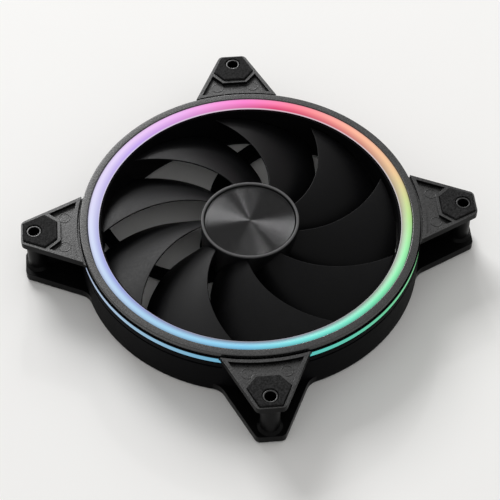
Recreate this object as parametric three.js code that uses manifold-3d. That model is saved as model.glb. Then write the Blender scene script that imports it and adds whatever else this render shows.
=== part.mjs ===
// A 140 mm computer case fan with a round duct body, four corner ears, a lit front ring and
// lit side strips, drawn as the separate pieces it is put together from.
// Millimetres, +Z is the front (air goes in), the origin is on the spin axis in the rear
// mounting plane.
import * as THREE from "three";
import { mergeVertices } from "three/addons/utils/BufferGeometryUtils.js";
import Module from "manifold-3d";

const wasm = await Module();
wasm.setup();

// ---- Driving dimensions -------------------------------------------------------------------

// Standard fan size
const FAN_WIDTH = 140; // between opposite sides of the body
const FAN_DEPTH = 25; // rear pad face to front pad face
const HOLE_INSET = 7.75; // hole centre to each edge of the fan's square: 124.5 mm pitch
const HOLE_DIAMETER = 4.5;

// Clearances
const FIT_GAP = 0.3; // between pieces that are fastened to each other
const AIR_GAP = 0.5; // magnet to stator, and hub to motor base
const TIP_CLEARANCE = 0.7; // blade tip to duct wall
const SHAFT_CLEARANCE = 0.05; // shaft to bearing bore, on the radius
const CUT_PAST = 1; // how far a cutter runs past the face that it opens
const EMBED = 0.4; // how deep a joined feature is sunk into its parent

// Duct body
const BODY_WALL = 4; // outer wall, from the lighting channel outwards
const CHANNEL_WIDTH = 3.6;
const CHANNEL_DEPTH = 7.5; // channel floor below the front plane
const DUCT_WALL = 1.4; // inner wall, from the duct to the channel
const DUCT_WALL_DROP = 2.1; // top of the inner wall below the front plane
const BODY_DROP = 2.3; // top of the outer wall below the front plane
const DUCT_FLARE = 1; // chamfer of the duct's rear mouth
const REAR_RIM = 0.8; // frame's rear face above the rear pad face
const FRONT_RIM = 0.8; // ears' front face below the front pad face
const POCKET_ROOF = 2; // plastic between the channel floor and the rear pockets
const REAR_POCKETS = 12;
const REAR_POCKET_RIB = 1.8;
const REAR_POCKET_WALL = 1.6;
const SIDE_GROOVE_DROP = 8.5; // middle of the side groove below the front plane
const SIDE_GROOVE_WIDTH = 0.8;
const SIDE_GROOVE_DEPTH = 0.6;

// Front trim ring
const BEZEL_INSET = 0.5; // its outer edge inside the body's outer wall
const BEZEL_WIDTH = 3.1;
const BEZEL_CHAMFER = 0.3;

// Light ring and side strips
const RING_RISE = 0.1; // outer edge of the light ring below the front plane
const RING_INNER_DROP = 1.3; // inner edge of the light ring below the front plane
const RING_OVERHANG = 0.55; // how far the ring reaches inwards over the duct's wall
const RING_LIP = 0.5; // thickness of the ring's inner edge
const RING_FLANGE = 1.5; // thickness of the ring's outer edge
const RING_STEM_DEPTH = 4.5; // foot of the ring below the front plane
const STRIP_DROP = 3.3; // top of a side strip below the front plane
const STRIP_HEIGHT = 2.3;
const STRIP_HALF_ANGLE = 30.8; // degrees each side of the middle of a body side
const STRIP_SINK = 0.1; // strip face below the body's side
const BOARD_THICKNESS = 0.8; // lighting circuit board
const LED_COUNT = 12;
const LED_SIDE = 2.2;
const LED_HEIGHT = 1.1;

// Corner ears
const EAR_TIP_REACH = 5.3; // ear's tip edge beyond the hole centre
const EAR_TIP_HALF_WIDTH = 5.5;
const EAR_TAPER = 25.5; // degrees between an ear's side edge and its centre line
const EAR_TIP_RADIUS = 2.5;
const EAR_GROOVE = 0.7; // gap between the front trim ring and the ear's front plate
const FRONT_FLANGE = 2.9;
const REAR_FLANGE = 3.7;
const FRONT_FILLET = 0.8; // ear side into body side, front plate
const REAR_FILLET = 7; // ear side into body side, rear plate
const COLUMN_RADIUS = 4;
const WEB_THICKNESS = 2;
const EAR_RIM = 1.5; // rim left beside the pad and the pocket
const EAR_TIP_RIM = 1;
const EAR_POCKET_DEPTH = 1.5;
const EAR_BODY_RIB = 1.7; // rim left between the groove and the pocket
const PAD_RIB = 1.2; // rib between the pocket and the pad

// Rubber pads, measured from the hole centre
const PAD_THICKNESS = 1.8;
const PAD_INNER_REACH = 9.2;
const PAD_INNER_HALF_WIDTH = 4.4;
const PAD_WIDEST_REACH = 4.3;
const TUBE_WALL = 0.7; // tube around the screw hole that locates the pad
const TUBE_SINK = 0.4; // tube end below the pad face

// Struts and motor base
const STRUT_COUNT = 4;
const STRUT_RIM_ANGLE = 32; // degrees, where the first strut meets the duct
const STRUT_SWEEP = 48; // degrees that a strut turns from the duct to the motor base
const STRUT_WIDTH = 4;
const STRUT_HEIGHT = 4.2;
const CABLE_STRUT = 1; // index of the strut that carries the leads
const CABLE_STRUT_WIDTH = 6.4;
const CABLE_CHANNEL_WIDTH = 3.6;
const CABLE_CHANNEL_DEPTH = 2.6;
const CABLE_OUTLET_WIDTH = 7;
const BASE_OVERHANG = 0.9; // motor base outside the hub's radius
const BASE_RIM_WIDTH = 1.6;
const BASE_RIM_HEIGHT = 4.9; // above the frame's rear face
const BASE_FLOOR = 1.6;
const LABEL_RECESS = 0.6;
const LABEL_RIM = 2.8;
const LABEL_THICKNESS = 0.2;
const BOSS_WALL = 1.8;
const POST_RADIUS = 1.2;
const POST_COUNT = 3;
const POST_CIRCLE_RADIUS = 12;

// Rotor
const BLADE_COUNT = 9;
const HUB_RADIUS = 20.1;
const HUB_DROP = 1.7; // hub lip below the front plane
const HUB_LIP = 1.15;
const HUB_LIP_HEIGHT = 1.7; // lip above the face that the disc is stuck to
const HUB_TOP_WALL = 1.4;
const HUB_WALL = 1.2;
const HUB_CHAMFER = 0.4;
const DISC_THICKNESS = 0.6;
const YOKE_THICKNESS = 0.7;
const YOKE_LIFT = 0.8; // yoke's open edge above the hub's
const MAGNET_THICKNESS = 1.7;
const MAGNET_LIFT = 0.6; // magnet's edge above the yoke's open edge
const MAGNET_TOP_GAP = 2.2; // magnet to the yoke's closed end
const SHAFT_RADIUS = 1.5;
const SHAFT_BOSS_WALL = 2.2;
const SHAFT_BOSS_LENGTH = 2.4;
const CLIP_THICKNESS = 0.4;
const CLIP_RADIUS = 2.6;
const CLIP_GROOVE_RADIUS = 1;
const CLIP_GROOVE_WIDTH = 1;

// Blades: angles at the hub and at the tip, in degrees
const BLADE_START_ANGLE = 8; // middle of the first blade at the hub
const BLADE_SWEEP = 37; // how far a blade leans forwards from hub to tip
const BLADE_SPAN_HUB = 38;
const BLADE_SPAN_TIP = 39;
const BLADE_THICKNESS = 1.5;
const BLADE_EDGE_THICKNESS = 0.6;
const BLADE_CAMBER = 1.6;
const BLADE_LIFT = 0.9; // trailing edge above the hub's open edge
const BLADE_DROP = 3.6; // leading edge below the front plane
const BLADE_TIP_FLATTEN = 1.6; // how much lower the blade is at the tip than at the hub

// Bearing
const HOUSING_WALL = 0.6;
const SLEEVE_WALL = 1.65;
const CAP_THICKNESS = 1.2;
const THRUST_THICKNESS = 0.3;
const HOUSING_LIFT = 0.4; // housing above the motor base's label face
const SEAL_THICKNESS = 0.6;
const SEAL_CLEARANCE = 0.4; // oil seal to shaft, on the radius

// Stator and motor circuit
const MOTOR_BOARD_THICKNESS = 1.2;
const MOTOR_BOARD_EDGE_GAP = 1.3; // board edge inside the yoke
const MOTOR_HEADROOM = 1.8; // windings below the yoke's closed end
const CORE_HUB_WALL = 2.2;
const POLE_COUNT = 4;
const POLE_HALF_WIDTH = 1.8;
const POLE_SHOE_DEPTH = 2.2;
const POLE_SHOE_HALF_ANGLE = 36;
const BOBBIN_THICKNESS = 0.6;
const BOBBIN_FLANGE = 0.5;
const COIL_THICKNESS = 1.6;
const COIL_CORNER = 1;
const HALL_SENSOR = { radial: 1.5, across: 3.2, height: 1 };
const DRIVER_CHIP = { radial: 3, across: 4, height: 1 };

// Facets
const RING_FACETS = 60;
const HUB_FACETS = 32;
const HOLE_FACETS = 16;
const SHAFT_FACETS = 24;
const ARC_FACETS = 9; // on each long arc of an outline
const SHORT_ARC_FACETS = 4;
const DOME_FACETS = 3; // across the light ring's top
const STRUT_FACETS = 8; // along a strut
const BLADE_FACETS = { out: 8, chord: 4 };

// ---- Places worked out from the driving dimensions ------------------------------------------

const bodyRadius = FAN_WIDTH / 2;
const holeRadius = HOLE_DIAMETER / 2;
const holeFromAxis = (FAN_WIDTH / 2 - HOLE_INSET) * Math.SQRT2;
const channelOuter = bodyRadius - BODY_WALL;
const channelInner = channelOuter - CHANNEL_WIDTH;
const ductRadius = channelInner - DUCT_WALL;
const channelFloor = FAN_DEPTH - CHANNEL_DEPTH;
const bodyTop = FAN_DEPTH - BODY_DROP;

const bezelOuter = bodyRadius - BEZEL_INSET;
const bezelInner = bezelOuter - BEZEL_WIDTH;

const stripTop = FAN_DEPTH - STRIP_DROP;
const stripBottom = stripTop - STRIP_HEIGHT;
const stripOuter = bodyRadius - STRIP_SINK;
const stripInner = channelOuter + FIT_GAP;

const earTip = holeFromAxis + EAR_TIP_REACH;
const earStart = bezelOuter + EAR_GROOVE;
const frontRim = FAN_DEPTH - FRONT_RIM;
const frontFlangeBottom = frontRim - FRONT_FLANGE;
const rearFlangeTop = REAR_RIM + REAR_FLANGE;
const tubeRadius = holeRadius + TUBE_WALL;

const baseRadius = HUB_RADIUS + BASE_OVERHANG;
const baseFloorBottom = REAR_RIM + LABEL_RECESS;
const baseFloorTop = baseFloorBottom + BASE_FLOOR;
const baseRimTop = REAR_RIM + BASE_RIM_HEIGHT;

const hubTop = FAN_DEPTH - HUB_DROP;
const hubBottom = baseRimTop + AIR_GAP;
const discSeat = hubTop - HUB_LIP_HEIGHT;
const hubCeiling = discSeat - HUB_TOP_WALL;
const hubBore = HUB_RADIUS - HUB_WALL;
const yokeOuter = hubBore - FIT_GAP;
const yokeInner = yokeOuter - YOKE_THICKNESS;
const yokeTop = hubCeiling - FIT_GAP;
const yokeCeiling = yokeTop - YOKE_THICKNESS;
const yokeBottom = hubBottom + YOKE_LIFT;
const magnetOuter = yokeInner - FIT_GAP;
const magnetInner = magnetOuter - MAGNET_THICKNESS;
const shaftBossRadius = SHAFT_RADIUS + FIT_GAP + SHAFT_BOSS_WALL;
const shaftBossBottom = hubCeiling - SHAFT_BOSS_LENGTH;
const shaftTop = hubCeiling - FIT_GAP;

const sleeveInner = SHAFT_RADIUS + SHAFT_CLEARANCE;
const sleeveOuter = sleeveInner + SLEEVE_WALL;
const housingInner = sleeveOuter + FIT_GAP;
const housingOuter = housingInner + HOUSING_WALL;
const housingBottom = baseFloorBottom + HOUSING_LIFT;
const housingTop = shaftBossBottom - AIR_GAP;
const capTop = housingBottom + CAP_THICKNESS;
const thrustBottom = capTop + FIT_GAP;
const thrustTop = thrustBottom + THRUST_THICKNESS;
const shaftBottom = thrustTop + FIT_GAP;
const clipGrooveBottom = shaftBottom + FIT_GAP;
const clipBottom = clipGrooveBottom + FIT_GAP;
const sleeveBottom = clipBottom + CLIP_THICKNESS + AIR_GAP;
const sealTop = housingTop - FIT_GAP;
const sleeveTop = sealTop - SEAL_THICKNESS - FIT_GAP;

const baseBore = housingOuter + FIT_GAP;
const bossRadius = baseBore + BOSS_WALL;
const motorBoardBottom = baseRimTop + FIT_GAP;
const motorBoardTop = motorBoardBottom + MOTOR_BOARD_THICKNESS;
const motorBoardInner = bossRadius + FIT_GAP;
const motorBoardOuter = yokeInner - MOTOR_BOARD_EDGE_GAP;
const statorRadius = magnetInner - AIR_GAP;
const shoeInner = statorRadius - POLE_SHOE_DEPTH;
const coreBore = housingOuter + FIT_GAP;
const coreHubRadius = coreBore + CORE_HUB_WALL;
const coilBottom = motorBoardTop + FIT_GAP;
const coilTop = yokeCeiling - MOTOR_HEADROOM;
const coilInnerRadius = coreHubRadius + FIT_GAP;
const coilOuterRadius = shoeInner - FIT_GAP - BOBBIN_FLANGE;
const windingStack = COIL_THICKNESS + FIT_GAP + BOBBIN_THICKNESS + FIT_GAP;
const coreBottom = coilBottom + windingStack;
const coreTop = coilTop - windingStack;

// ---- Solid helpers --------------------------------------------------------------------------

const MERGE_TOLERANCE = 1e-4;
const radians = THREE.MathUtils.degToRad;

// A closed three.js geometry as a solid that can be cut and joined.
function solidOf(geometry) {
  const bare = geometry.clone();
  bare.deleteAttribute("normal");
  bare.deleteAttribute("uv");
  const merged = mergeVertices(bare, MERGE_TOLERANCE);
  const mesh = new wasm.Mesh({
    numProp: 3,
    vertProperties: merged.attributes.position.array,
    triVerts: new Uint32Array(merged.index.array),
  });
  return new wasm.Manifold(mesh);
}

// A solid as a three.js geometry with flat faces.
function geometryOf(solid) {
  const mesh = solid.getMesh();
  const geometry = new THREE.BufferGeometry();
  geometry.setAttribute("position", new THREE.BufferAttribute(mesh.vertProperties, 3));
  geometry.setIndex(new THREE.BufferAttribute(mesh.triVerts, 1));
  geometry.computeVertexNormals();
  return geometry;
}

// A profile of [radius, height] points, counter-clockwise, turned round the fan's axis.
function turned(profile, facets = RING_FACETS) {
  const closed = [...profile, profile[0]];
  const points = closed.map(([radius, height]) => new THREE.Vector2(radius, height));
  const lathe = new THREE.LatheGeometry(points, facets);
  lathe.rotateX(Math.PI / 2);
  return solidOf(lathe);
}

// A plain ring, or a disc where the inner radius is 0, between two heights.
function ring(inner, outer, bottom, top, facets = RING_FACETS) {
  if (inner > 0) {
    return turned([[inner, bottom], [outer, bottom], [outer, top], [inner, top]], facets);
  }
  const disc = new THREE.CylinderGeometry(outer, outer, top - bottom, facets);
  disc.rotateX(Math.PI / 2);
  disc.translate(0, 0, (bottom + top) / 2);
  return solidOf(disc);
}

// A flat outline raised between two heights.
function raised(shape, bottom, top, curveSegments = ARC_FACETS) {
  const depth = top - bottom;
  const geometry = new THREE.ExtrudeGeometry(shape, { depth, bevelEnabled: false, curveSegments });
  geometry.translate(0, 0, bottom);
  return solidOf(geometry);
}

// A box from its lowest and highest corners.
function box(low, high) {
  const [x, y, z] = high.map((value, axis) => value - low[axis]);
  const geometry = new THREE.BoxGeometry(x, y, z);
  geometry.translate(low[0] + x / 2, low[1] + y / 2, low[2] + z / 2);
  return solidOf(geometry);
}

const turnedBy = (solid, degrees) => solid.rotate([0, 0, degrees]);
const movedBy = (solid, x, y, z = 0) => solid.translate([x, y, z]);
const joined = (solids) => solids.reduce((whole, piece) => whole.add(piece));
const mirroredInZ = (solid) => solid.mirror([0, 0, 1]).translate([0, 0, FAN_DEPTH]);
const around = (count, make) => Array.from({ length: count }, (_, index) => make(index));
const cornerAngles = [45, 135, 225, 315];
const sideAngles = [0, 90, 180, 270];

// Part of a ring between two angles in degrees, as a flat outline.
function ringSector(inner, outer, from, to) {
  const shape = new THREE.Shape();
  shape.absarc(0, 0, outer, radians(from), radians(to), false);
  shape.absarc(0, 0, inner, radians(to), radians(from), true);
  return shape;
}

const polygon = (points) => new THREE.Shape(points.map(([x, y]) => new THREE.Vector2(x, y)));
const mirroredPath = (half) => [...half, ...half.map(([x, y]) => [x, -y]).reverse()];

// Points of an arc round a centre between two angles in radians.
function arcPoints([x, y], radius, from, to, steps) {
  return around(steps + 1, (step) => {
    const angle = from + ((to - from) * step) / steps;
    return [x + radius * Math.cos(angle), y + radius * Math.sin(angle)];
  });
}

// ---- Ears: outlines in a frame whose X axis runs out along the ear's centre line --------------

const earSlope = Math.tan(radians(EAR_TAPER));
const sideNormal = [Math.sin(radians(EAR_TAPER)), Math.cos(radians(EAR_TAPER))];

// Half the ear's width at a distance from the axis, less a rim measured square to its side.
function earHalfWidth(distance, rim = 0) {
  return EAR_TIP_HALF_WIDTH + (earTip - distance) * earSlope - rim / sideNormal[1];
}

// The arc that blends the ear's side edge into the body's side.
function rootFillet(fillet) {
  const start = [earTip + fillet * sideNormal[0], EAR_TIP_HALF_WIDTH + fillet * sideNormal[1]];
  const along = [-sideNormal[1], sideNormal[0]];
  const middle = start[0] * along[0] + start[1] * along[1];
  const excess = start[0] ** 2 + start[1] ** 2 - (bodyRadius + fillet) ** 2;
  const run = -middle - Math.sqrt(middle ** 2 - excess);
  const centre = [start[0] + run * along[0], start[1] + run * along[1]];
  const towardsBody = Math.atan2(-centre[1], -centre[0]);
  const towardsSide = Math.atan2(-sideNormal[1], -sideNormal[0]);
  return arcPoints(centre, fillet, towardsBody, towardsSide, SHORT_ARC_FACETS);
}

// The rounded corner between the ear's side edge and its tip edge.
function tipCorner() {
  const lean = radians(90 - EAR_TAPER);
  const back = EAR_TIP_RADIUS * Math.tan(lean / 2);
  const centre = [earTip - EAR_TIP_RADIUS, EAR_TIP_HALF_WIDTH - back];
  return arcPoints(centre, EAR_TIP_RADIUS, lean, 0, SHORT_ARC_FACETS);
}

function earPlate(fillet, bottom, top) {
  const inside = [channelOuter, earHalfWidth(bodyRadius)];
  const half = [inside, ...rootFillet(fillet), ...tipCorner()];
  return raised(polygon(mirroredPath(half)), bottom, top);
}

// The six-sided pad outline, grown by a margin.
function padOutline(margin) {
  const widest = holeFromAxis - PAD_WIDEST_REACH;
  const outer = earTip - EAR_TIP_RIM;
  const grownRim = EAR_RIM - margin;
  return polygon(
    mirroredPath([
      [holeFromAxis - PAD_INNER_REACH - margin, PAD_INNER_HALF_WIDTH + margin / 2],
      [widest - margin / 2, earHalfWidth(widest, grownRim)],
      [outer + margin, earHalfWidth(outer, grownRim)],
    ]),
  );
}

// The hollow between the body and the pad on an ear's front face.
function earPocket() {
  const widest = holeFromAxis - PAD_WIDEST_REACH;
  const floor = frontRim - EAR_POCKET_DEPTH;
  const top = frontRim + CUT_PAST;
  const outline = mirroredPath([
    [bodyRadius - BODY_WALL, earHalfWidth(bodyRadius - BODY_WALL, EAR_RIM)],
    [widest, earHalfWidth(widest, EAR_RIM)],
  ]);
  return raised(polygon(outline), floor, top)
    .subtract(ring(0, earStart + EAR_BODY_RIB, floor - CUT_PAST, top + CUT_PAST))
    .subtract(raised(padOutline(FIT_GAP + PAD_RIB), floor - CUT_PAST, top + CUT_PAST));
}

const padSeat = FAN_DEPTH - PAD_THICKNESS - FIT_GAP;

// The seat that a pad lies in, around the tube that locates it.
function padRecess() {
  const recess = raised(padOutline(FIT_GAP), padSeat, frontRim + CUT_PAST);
  return movedHole(recess, tubeRadius, padSeat - CUT_PAST, frontRim + CUT_PAST * 2);
}

// A solid with a round hole at the ear's hole centre.
function movedHole(solid, radius, bottom, top) {
  return solid.subtract(movedBy(ring(0, radius, bottom, top, HOLE_FACETS), holeFromAxis, 0));
}

function earFrontCuts() {
  return earPocket().add(padRecess());
}

// One ear with its plates, screw column and web, before it is turned to its corner.
function ear() {
  const tubeTop = FAN_DEPTH - TUBE_SINK;
  const front = earPlate(FRONT_FILLET, frontFlangeBottom, frontRim);
  const rear = earPlate(REAR_FILLET, REAR_RIM, rearFlangeTop);
  const column = movedBy(
    ring(0, COLUMN_RADIUS, rearFlangeTop - EMBED, frontFlangeBottom + EMBED, HOLE_FACETS),
    holeFromAxis,
    0,
  );
  const tube = movedBy(ring(0, tubeRadius, TUBE_SINK, tubeTop, HOLE_FACETS), holeFromAxis, 0);
  const web = box(
    [channelOuter + EMBED, -WEB_THICKNESS / 2, rearFlangeTop - EMBED],
    [holeFromAxis - holeRadius - EMBED, WEB_THICKNESS / 2, frontFlangeBottom + EMBED],
  );
  const plates = front.subtract(earFrontCuts()).add(rear.subtract(mirroredInZ(earFrontCuts())));
  return movedHole(joined([plates, column, tube, web]), holeRadius, -CUT_PAST, FAN_DEPTH + CUT_PAST);
}

// ---- Frame: one moulding ----------------------------------------------------------------------

function ductBody() {
  return turned([
    [ductRadius + DUCT_FLARE, REAR_RIM],
    [bodyRadius, REAR_RIM],
    [bodyRadius, bodyTop],
    [channelOuter, bodyTop],
    [channelOuter, channelFloor],
    [channelInner, channelFloor],
    [channelInner, FAN_DEPTH - DUCT_WALL_DROP],
    [ductRadius, FAN_DEPTH - DUCT_WALL_DROP],
    [ductRadius, REAR_RIM + DUCT_FLARE * 2],
  ]);
}

// Openings in the body's side that the side strips shine through.
function stripWindows() {
  const halfAngle = STRIP_HALF_ANGLE + THREE.MathUtils.radToDeg(FIT_GAP / bodyRadius);
  const inner = channelInner + EMBED;
  const outer = bodyRadius + CUT_PAST;
  return sideAngles.map((angle) => {
    const outline = ringSector(inner, outer, angle - halfAngle, angle + halfAngle);
    return raised(outline, stripBottom - FIT_GAP, stripTop + FIT_GAP);
  });
}

// The shallow line that runs round each side of the body below its strip.
function sideGrooves() {
  const middle = FAN_DEPTH - SIDE_GROOVE_DROP;
  const inner = bodyRadius - SIDE_GROOVE_DEPTH;
  const outer = bodyRadius + CUT_PAST;
  return sideAngles.map((angle) => {
    const outline = ringSector(inner, outer, angle - STRIP_HALF_ANGLE, angle + STRIP_HALF_ANGLE);
    return raised(outline, middle - SIDE_GROOVE_WIDTH / 2, middle + SIDE_GROOVE_WIDTH / 2);
  });
}

// The hollows between the two walls, open at the rear, with a rib between neighbours.
function rearPockets() {
  const inner = ductRadius + REAR_POCKET_WALL + DUCT_FLARE;
  const outer = bodyRadius - REAR_POCKET_WALL;
  const ribAngle = THREE.MathUtils.radToDeg((REAR_POCKET_RIB * 2) / (inner + outer));
  const step = 360 / REAR_POCKETS;
  return around(REAR_POCKETS, (index) => {
    const start = index * step + ribAngle / 2;
    const outline = ringSector(inner, outer, start, start + step - ribAngle);
    return raised(outline, REAR_RIM - CUT_PAST, channelFloor - POCKET_ROOF, SHORT_ARC_FACETS);
  });
}

// A strut's middle line turns steadily as it runs inwards, against the lean of the blades.
function strutAngle(radius, rimAngle) {
  return radians(rimAngle + (STRUT_SWEEP * (ductRadius - radius)) / (ductRadius - baseRadius));
}

// The outline of a strut of a given width between two radii.
function strutOutline(rimAngle, width, inner, outer) {
  const turnRate = -radians(STRUT_SWEEP) / (ductRadius - baseRadius);
  const sides = [1, -1].map((side) =>
    around(STRUT_FACETS + 1, (step) => {
      const radius = inner + ((outer - inner) * step) / STRUT_FACETS;
      const angle = strutAngle(radius, rimAngle);
      const lean = Math.atan(radius * turnRate);
      const normal = angle + lean + (side * Math.PI) / 2;
      return [
        radius * Math.cos(angle) + (width / 2) * Math.cos(normal),
        radius * Math.sin(angle) + (width / 2) * Math.sin(normal),
      ];
    }),
  );
  return polygon([...sides[1], ...sides[0].reverse()]);
}

const strutRimAngle = (index) => STRUT_RIM_ANGLE + (index * 360) / STRUT_COUNT;

function struts() {
  return joined(
    around(STRUT_COUNT, (index) => {
      const width = index === CABLE_STRUT ? CABLE_STRUT_WIDTH : STRUT_WIDTH;
      const inner = baseRadius - BASE_RIM_WIDTH / 2;
      const outer = ductRadius + DUCT_WALL / 2;
      const outline = strutOutline(strutRimAngle(index), width, inner, outer);
      return raised(outline, REAR_RIM, REAR_RIM + STRUT_HEIGHT);
    }),
  ).intersect(ring(0, ductRadius + DUCT_WALL + DUCT_FLARE, 0, FAN_DEPTH));
}

// The leads' way from the motor base along one strut and out through the body's side.
function cablePath() {
  const rimAngle = strutRimAngle(CABLE_STRUT);
  const inner = baseRadius - LABEL_RIM - CUT_PAST;
  const outer = ductRadius + DUCT_WALL;
  const bottom = REAR_RIM - CUT_PAST;
  const top = REAR_RIM + CABLE_CHANNEL_DEPTH;
  const channel = raised(strutOutline(rimAngle, CABLE_CHANNEL_WIDTH, inner, outer), bottom, top);
  const outlet = box(
    [ductRadius - CUT_PAST, -CABLE_OUTLET_WIDTH / 2, bottom],
    [earTip, CABLE_OUTLET_WIDTH / 2, top],
  );
  return channel.add(turnedBy(outlet, rimAngle));
}

function motorBase() {
  const rimInner = baseRadius - BASE_RIM_WIDTH;
  const labelEdge = baseRadius - LABEL_RIM;
  const dish = turned(
    [
      [baseBore, baseFloorBottom],
      [labelEdge, baseFloorBottom],
      [labelEdge, REAR_RIM],
      [baseRadius, REAR_RIM],
      [baseRadius, baseRimTop],
      [rimInner, baseRimTop],
      [rimInner, baseFloorTop],
      [bossRadius, baseFloorTop],
      [bossRadius, baseRimTop],
      [baseBore, baseRimTop],
    ],
    HUB_FACETS,
  );
  const posts = around(POST_COUNT, (index) => {
    const post = ring(0, POST_RADIUS, baseFloorTop - EMBED, baseRimTop, HOLE_FACETS / 2);
    return turnedBy(movedBy(post, POST_CIRCLE_RADIUS, 0), (index * 360) / POST_COUNT);
  });
  return joined([dish, ...posts]);
}

function frame() {
  const ears = cornerAngles.map((angle) => turnedBy(ear(), angle));
  const insideBody = ring(0, bodyRadius - EMBED, -CUT_PAST, FAN_DEPTH + CUT_PAST);
  const frontGroove = ring(0, earStart, bodyTop, FAN_DEPTH + CUT_PAST);
  const outsideBody = joined(ears).subtract(insideBody).subtract(frontGroove);
  const shell = ductBody().subtract(joined([...sideGrooves(), ...rearPockets()]));
  const cuts = joined([cablePath(), ...stripWindows()]);
  return joined([shell, outsideBody, struts(), motorBase()]).subtract(cuts);
}

// ---- Trim, lighting and pads --------------------------------------------------------------------

function frontBezel() {
  const bottom = bodyTop + FIT_GAP;
  return turned([
    [bezelInner, bottom],
    [bezelOuter, bottom],
    [bezelOuter, FAN_DEPTH - BEZEL_CHAMFER],
    [bezelOuter - BEZEL_CHAMFER, FAN_DEPTH],
    [bezelInner + BEZEL_CHAMFER, FAN_DEPTH],
    [bezelInner, FAN_DEPTH - BEZEL_CHAMFER],
  ]);
}

// The clear ring, domed from its outer edge down to its inner edge, with a foot in the channel.
function lightRing() {
  const outer = bezelInner - FIT_GAP;
  const inner = channelInner - RING_OVERHANG;
  const outerTop = FAN_DEPTH - RING_RISE;
  const innerTop = FAN_DEPTH - RING_INNER_DROP;
  const foot = FAN_DEPTH - RING_STEM_DEPTH;
  const flangeBottom = outerTop - RING_FLANGE;
  const dome = around(DOME_FACETS + 1, (step) => {
    const share = step / DOME_FACETS;
    const radius = outer + (inner - outer) * share;
    return [radius, innerTop + (outerTop - innerTop) * (1 - share ** 2)];
  });
  return turned([
    [inner, innerTop - RING_LIP],
    [channelInner + FIT_GAP, innerTop - RING_LIP],
    [channelInner + FIT_GAP, foot],
    [channelOuter - FIT_GAP, foot],
    [channelOuter - FIT_GAP, flangeBottom],
    [outer, flangeBottom],
    ...dome,
  ]);
}

function sideStrip(angle) {
  const outline = ringSector(
    stripInner,
    stripOuter,
    angle - STRIP_HALF_ANGLE,
    angle + STRIP_HALF_ANGLE,
  );
  return raised(outline, stripBottom, stripTop);
}

function lightBoard() {
  const bottom = channelFloor + FIT_GAP;
  const top = bottom + BOARD_THICKNESS;
  const inner = channelInner + FIT_GAP;
  const outer = channelOuter - FIT_GAP;
  const middle = (inner + outer) / 2;
  const leds = around(LED_COUNT, (index) => {
    const led = box(
      [middle - LED_SIDE / 2, -LED_SIDE / 2, top - EMBED],
      [middle + LED_SIDE / 2, LED_SIDE / 2, top + LED_HEIGHT],
    );
    return turnedBy(led, ((index + 0.5) * 360) / LED_COUNT);
  });
  return joined([ring(inner, outer, bottom, top), ...leds]);
}

function frontPad(angle) {
  const blank = raised(padOutline(0), FAN_DEPTH - PAD_THICKNESS, FAN_DEPTH);
  const pad = movedHole(blank, tubeRadius + FIT_GAP, 0, FAN_DEPTH + CUT_PAST);
  return turnedBy(pad, angle);
}

// ---- Bearing and motor ----------------------------------------------------------------------------

function bearingHousing() {
  return ring(housingInner, housingOuter, housingBottom, housingTop, SHAFT_FACETS);
}

function bearingSleeve() {
  return ring(sleeveInner, sleeveOuter, sleeveBottom, sleeveTop, SHAFT_FACETS);
}

function bearingCap() {
  return ring(0, sleeveOuter, housingBottom, capTop, SHAFT_FACETS);
}

function thrustDisc() {
  return ring(0, sleeveOuter, thrustBottom, thrustTop, SHAFT_FACETS);
}

function oilSeal() {
  const inner = SHAFT_RADIUS + SEAL_CLEARANCE;
  return ring(inner, sleeveOuter, sealTop - SEAL_THICKNESS, sealTop, SHAFT_FACETS);
}

const poleAngles = around(POLE_COUNT, (index) => (index * 360) / POLE_COUNT);

// Arms that reach from the core's hub to the pole shoes.
function poleArms(bottom, top, reach) {
  return poleAngles.map((angle) => {
    const arm = box(
      [coreBore + EMBED, -POLE_HALF_WIDTH, bottom],
      [reach, POLE_HALF_WIDTH, top],
    );
    return turnedBy(arm, angle);
  });
}

function statorCore() {
  const shoes = poleAngles.map((angle) => {
    const outline = ringSector(
      shoeInner,
      statorRadius,
      angle - POLE_SHOE_HALF_ANGLE,
      angle + POLE_SHOE_HALF_ANGLE,
    );
    return raised(outline, coreBottom, coreTop);
  });
  const hub = ring(coreBore, coreHubRadius, coreBottom, coreTop, SHAFT_FACETS);
  return joined([hub, ...poleArms(coreBottom, coreTop, shoeInner + EMBED), ...shoes]);
}

// The insulator on top of the core; the one below is its mirror image.
function upperBobbin() {
  const bottom = coreTop + FIT_GAP;
  const top = bottom + BOBBIN_THICKNESS;
  const flangeInner = coilOuterRadius + FIT_GAP;
  const halfWidth = POLE_HALF_WIDTH + FIT_GAP + COIL_THICKNESS;
  const flanges = poleAngles.map((angle) => {
    const flange = box(
      [flangeInner, -halfWidth, bottom],
      [flangeInner + BOBBIN_FLANGE, halfWidth, coilTop],
    );
    return turnedBy(flange, angle);
  });
  const hub = ring(coreBore, coreHubRadius, bottom, top, SHAFT_FACETS);
  return joined([hub, ...poleArms(bottom, top, flangeInner + BOBBIN_FLANGE / 2), ...flanges]);
}

function lowerBobbin() {
  const middle = (coreBottom + coreTop) / 2;
  return upperBobbin().mirror([0, 0, 1]).translate([0, 0, middle * 2]);
}

// A rectangle with rounded corners round the origin.
function roundedRectangle(width, height, corner) {
  const x = width / 2 - corner;
  const y = height / 2 - corner;
  const shape = new THREE.Shape();
  shape.absarc(x, y, corner, 0, Math.PI / 2, false);
  shape.absarc(-x, y, corner, Math.PI / 2, Math.PI, false);
  shape.absarc(-x, -y, corner, Math.PI, Math.PI * 1.5, false);
  shape.absarc(x, -y, corner, Math.PI * 1.5, Math.PI * 2, false);
  return shape;
}

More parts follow.
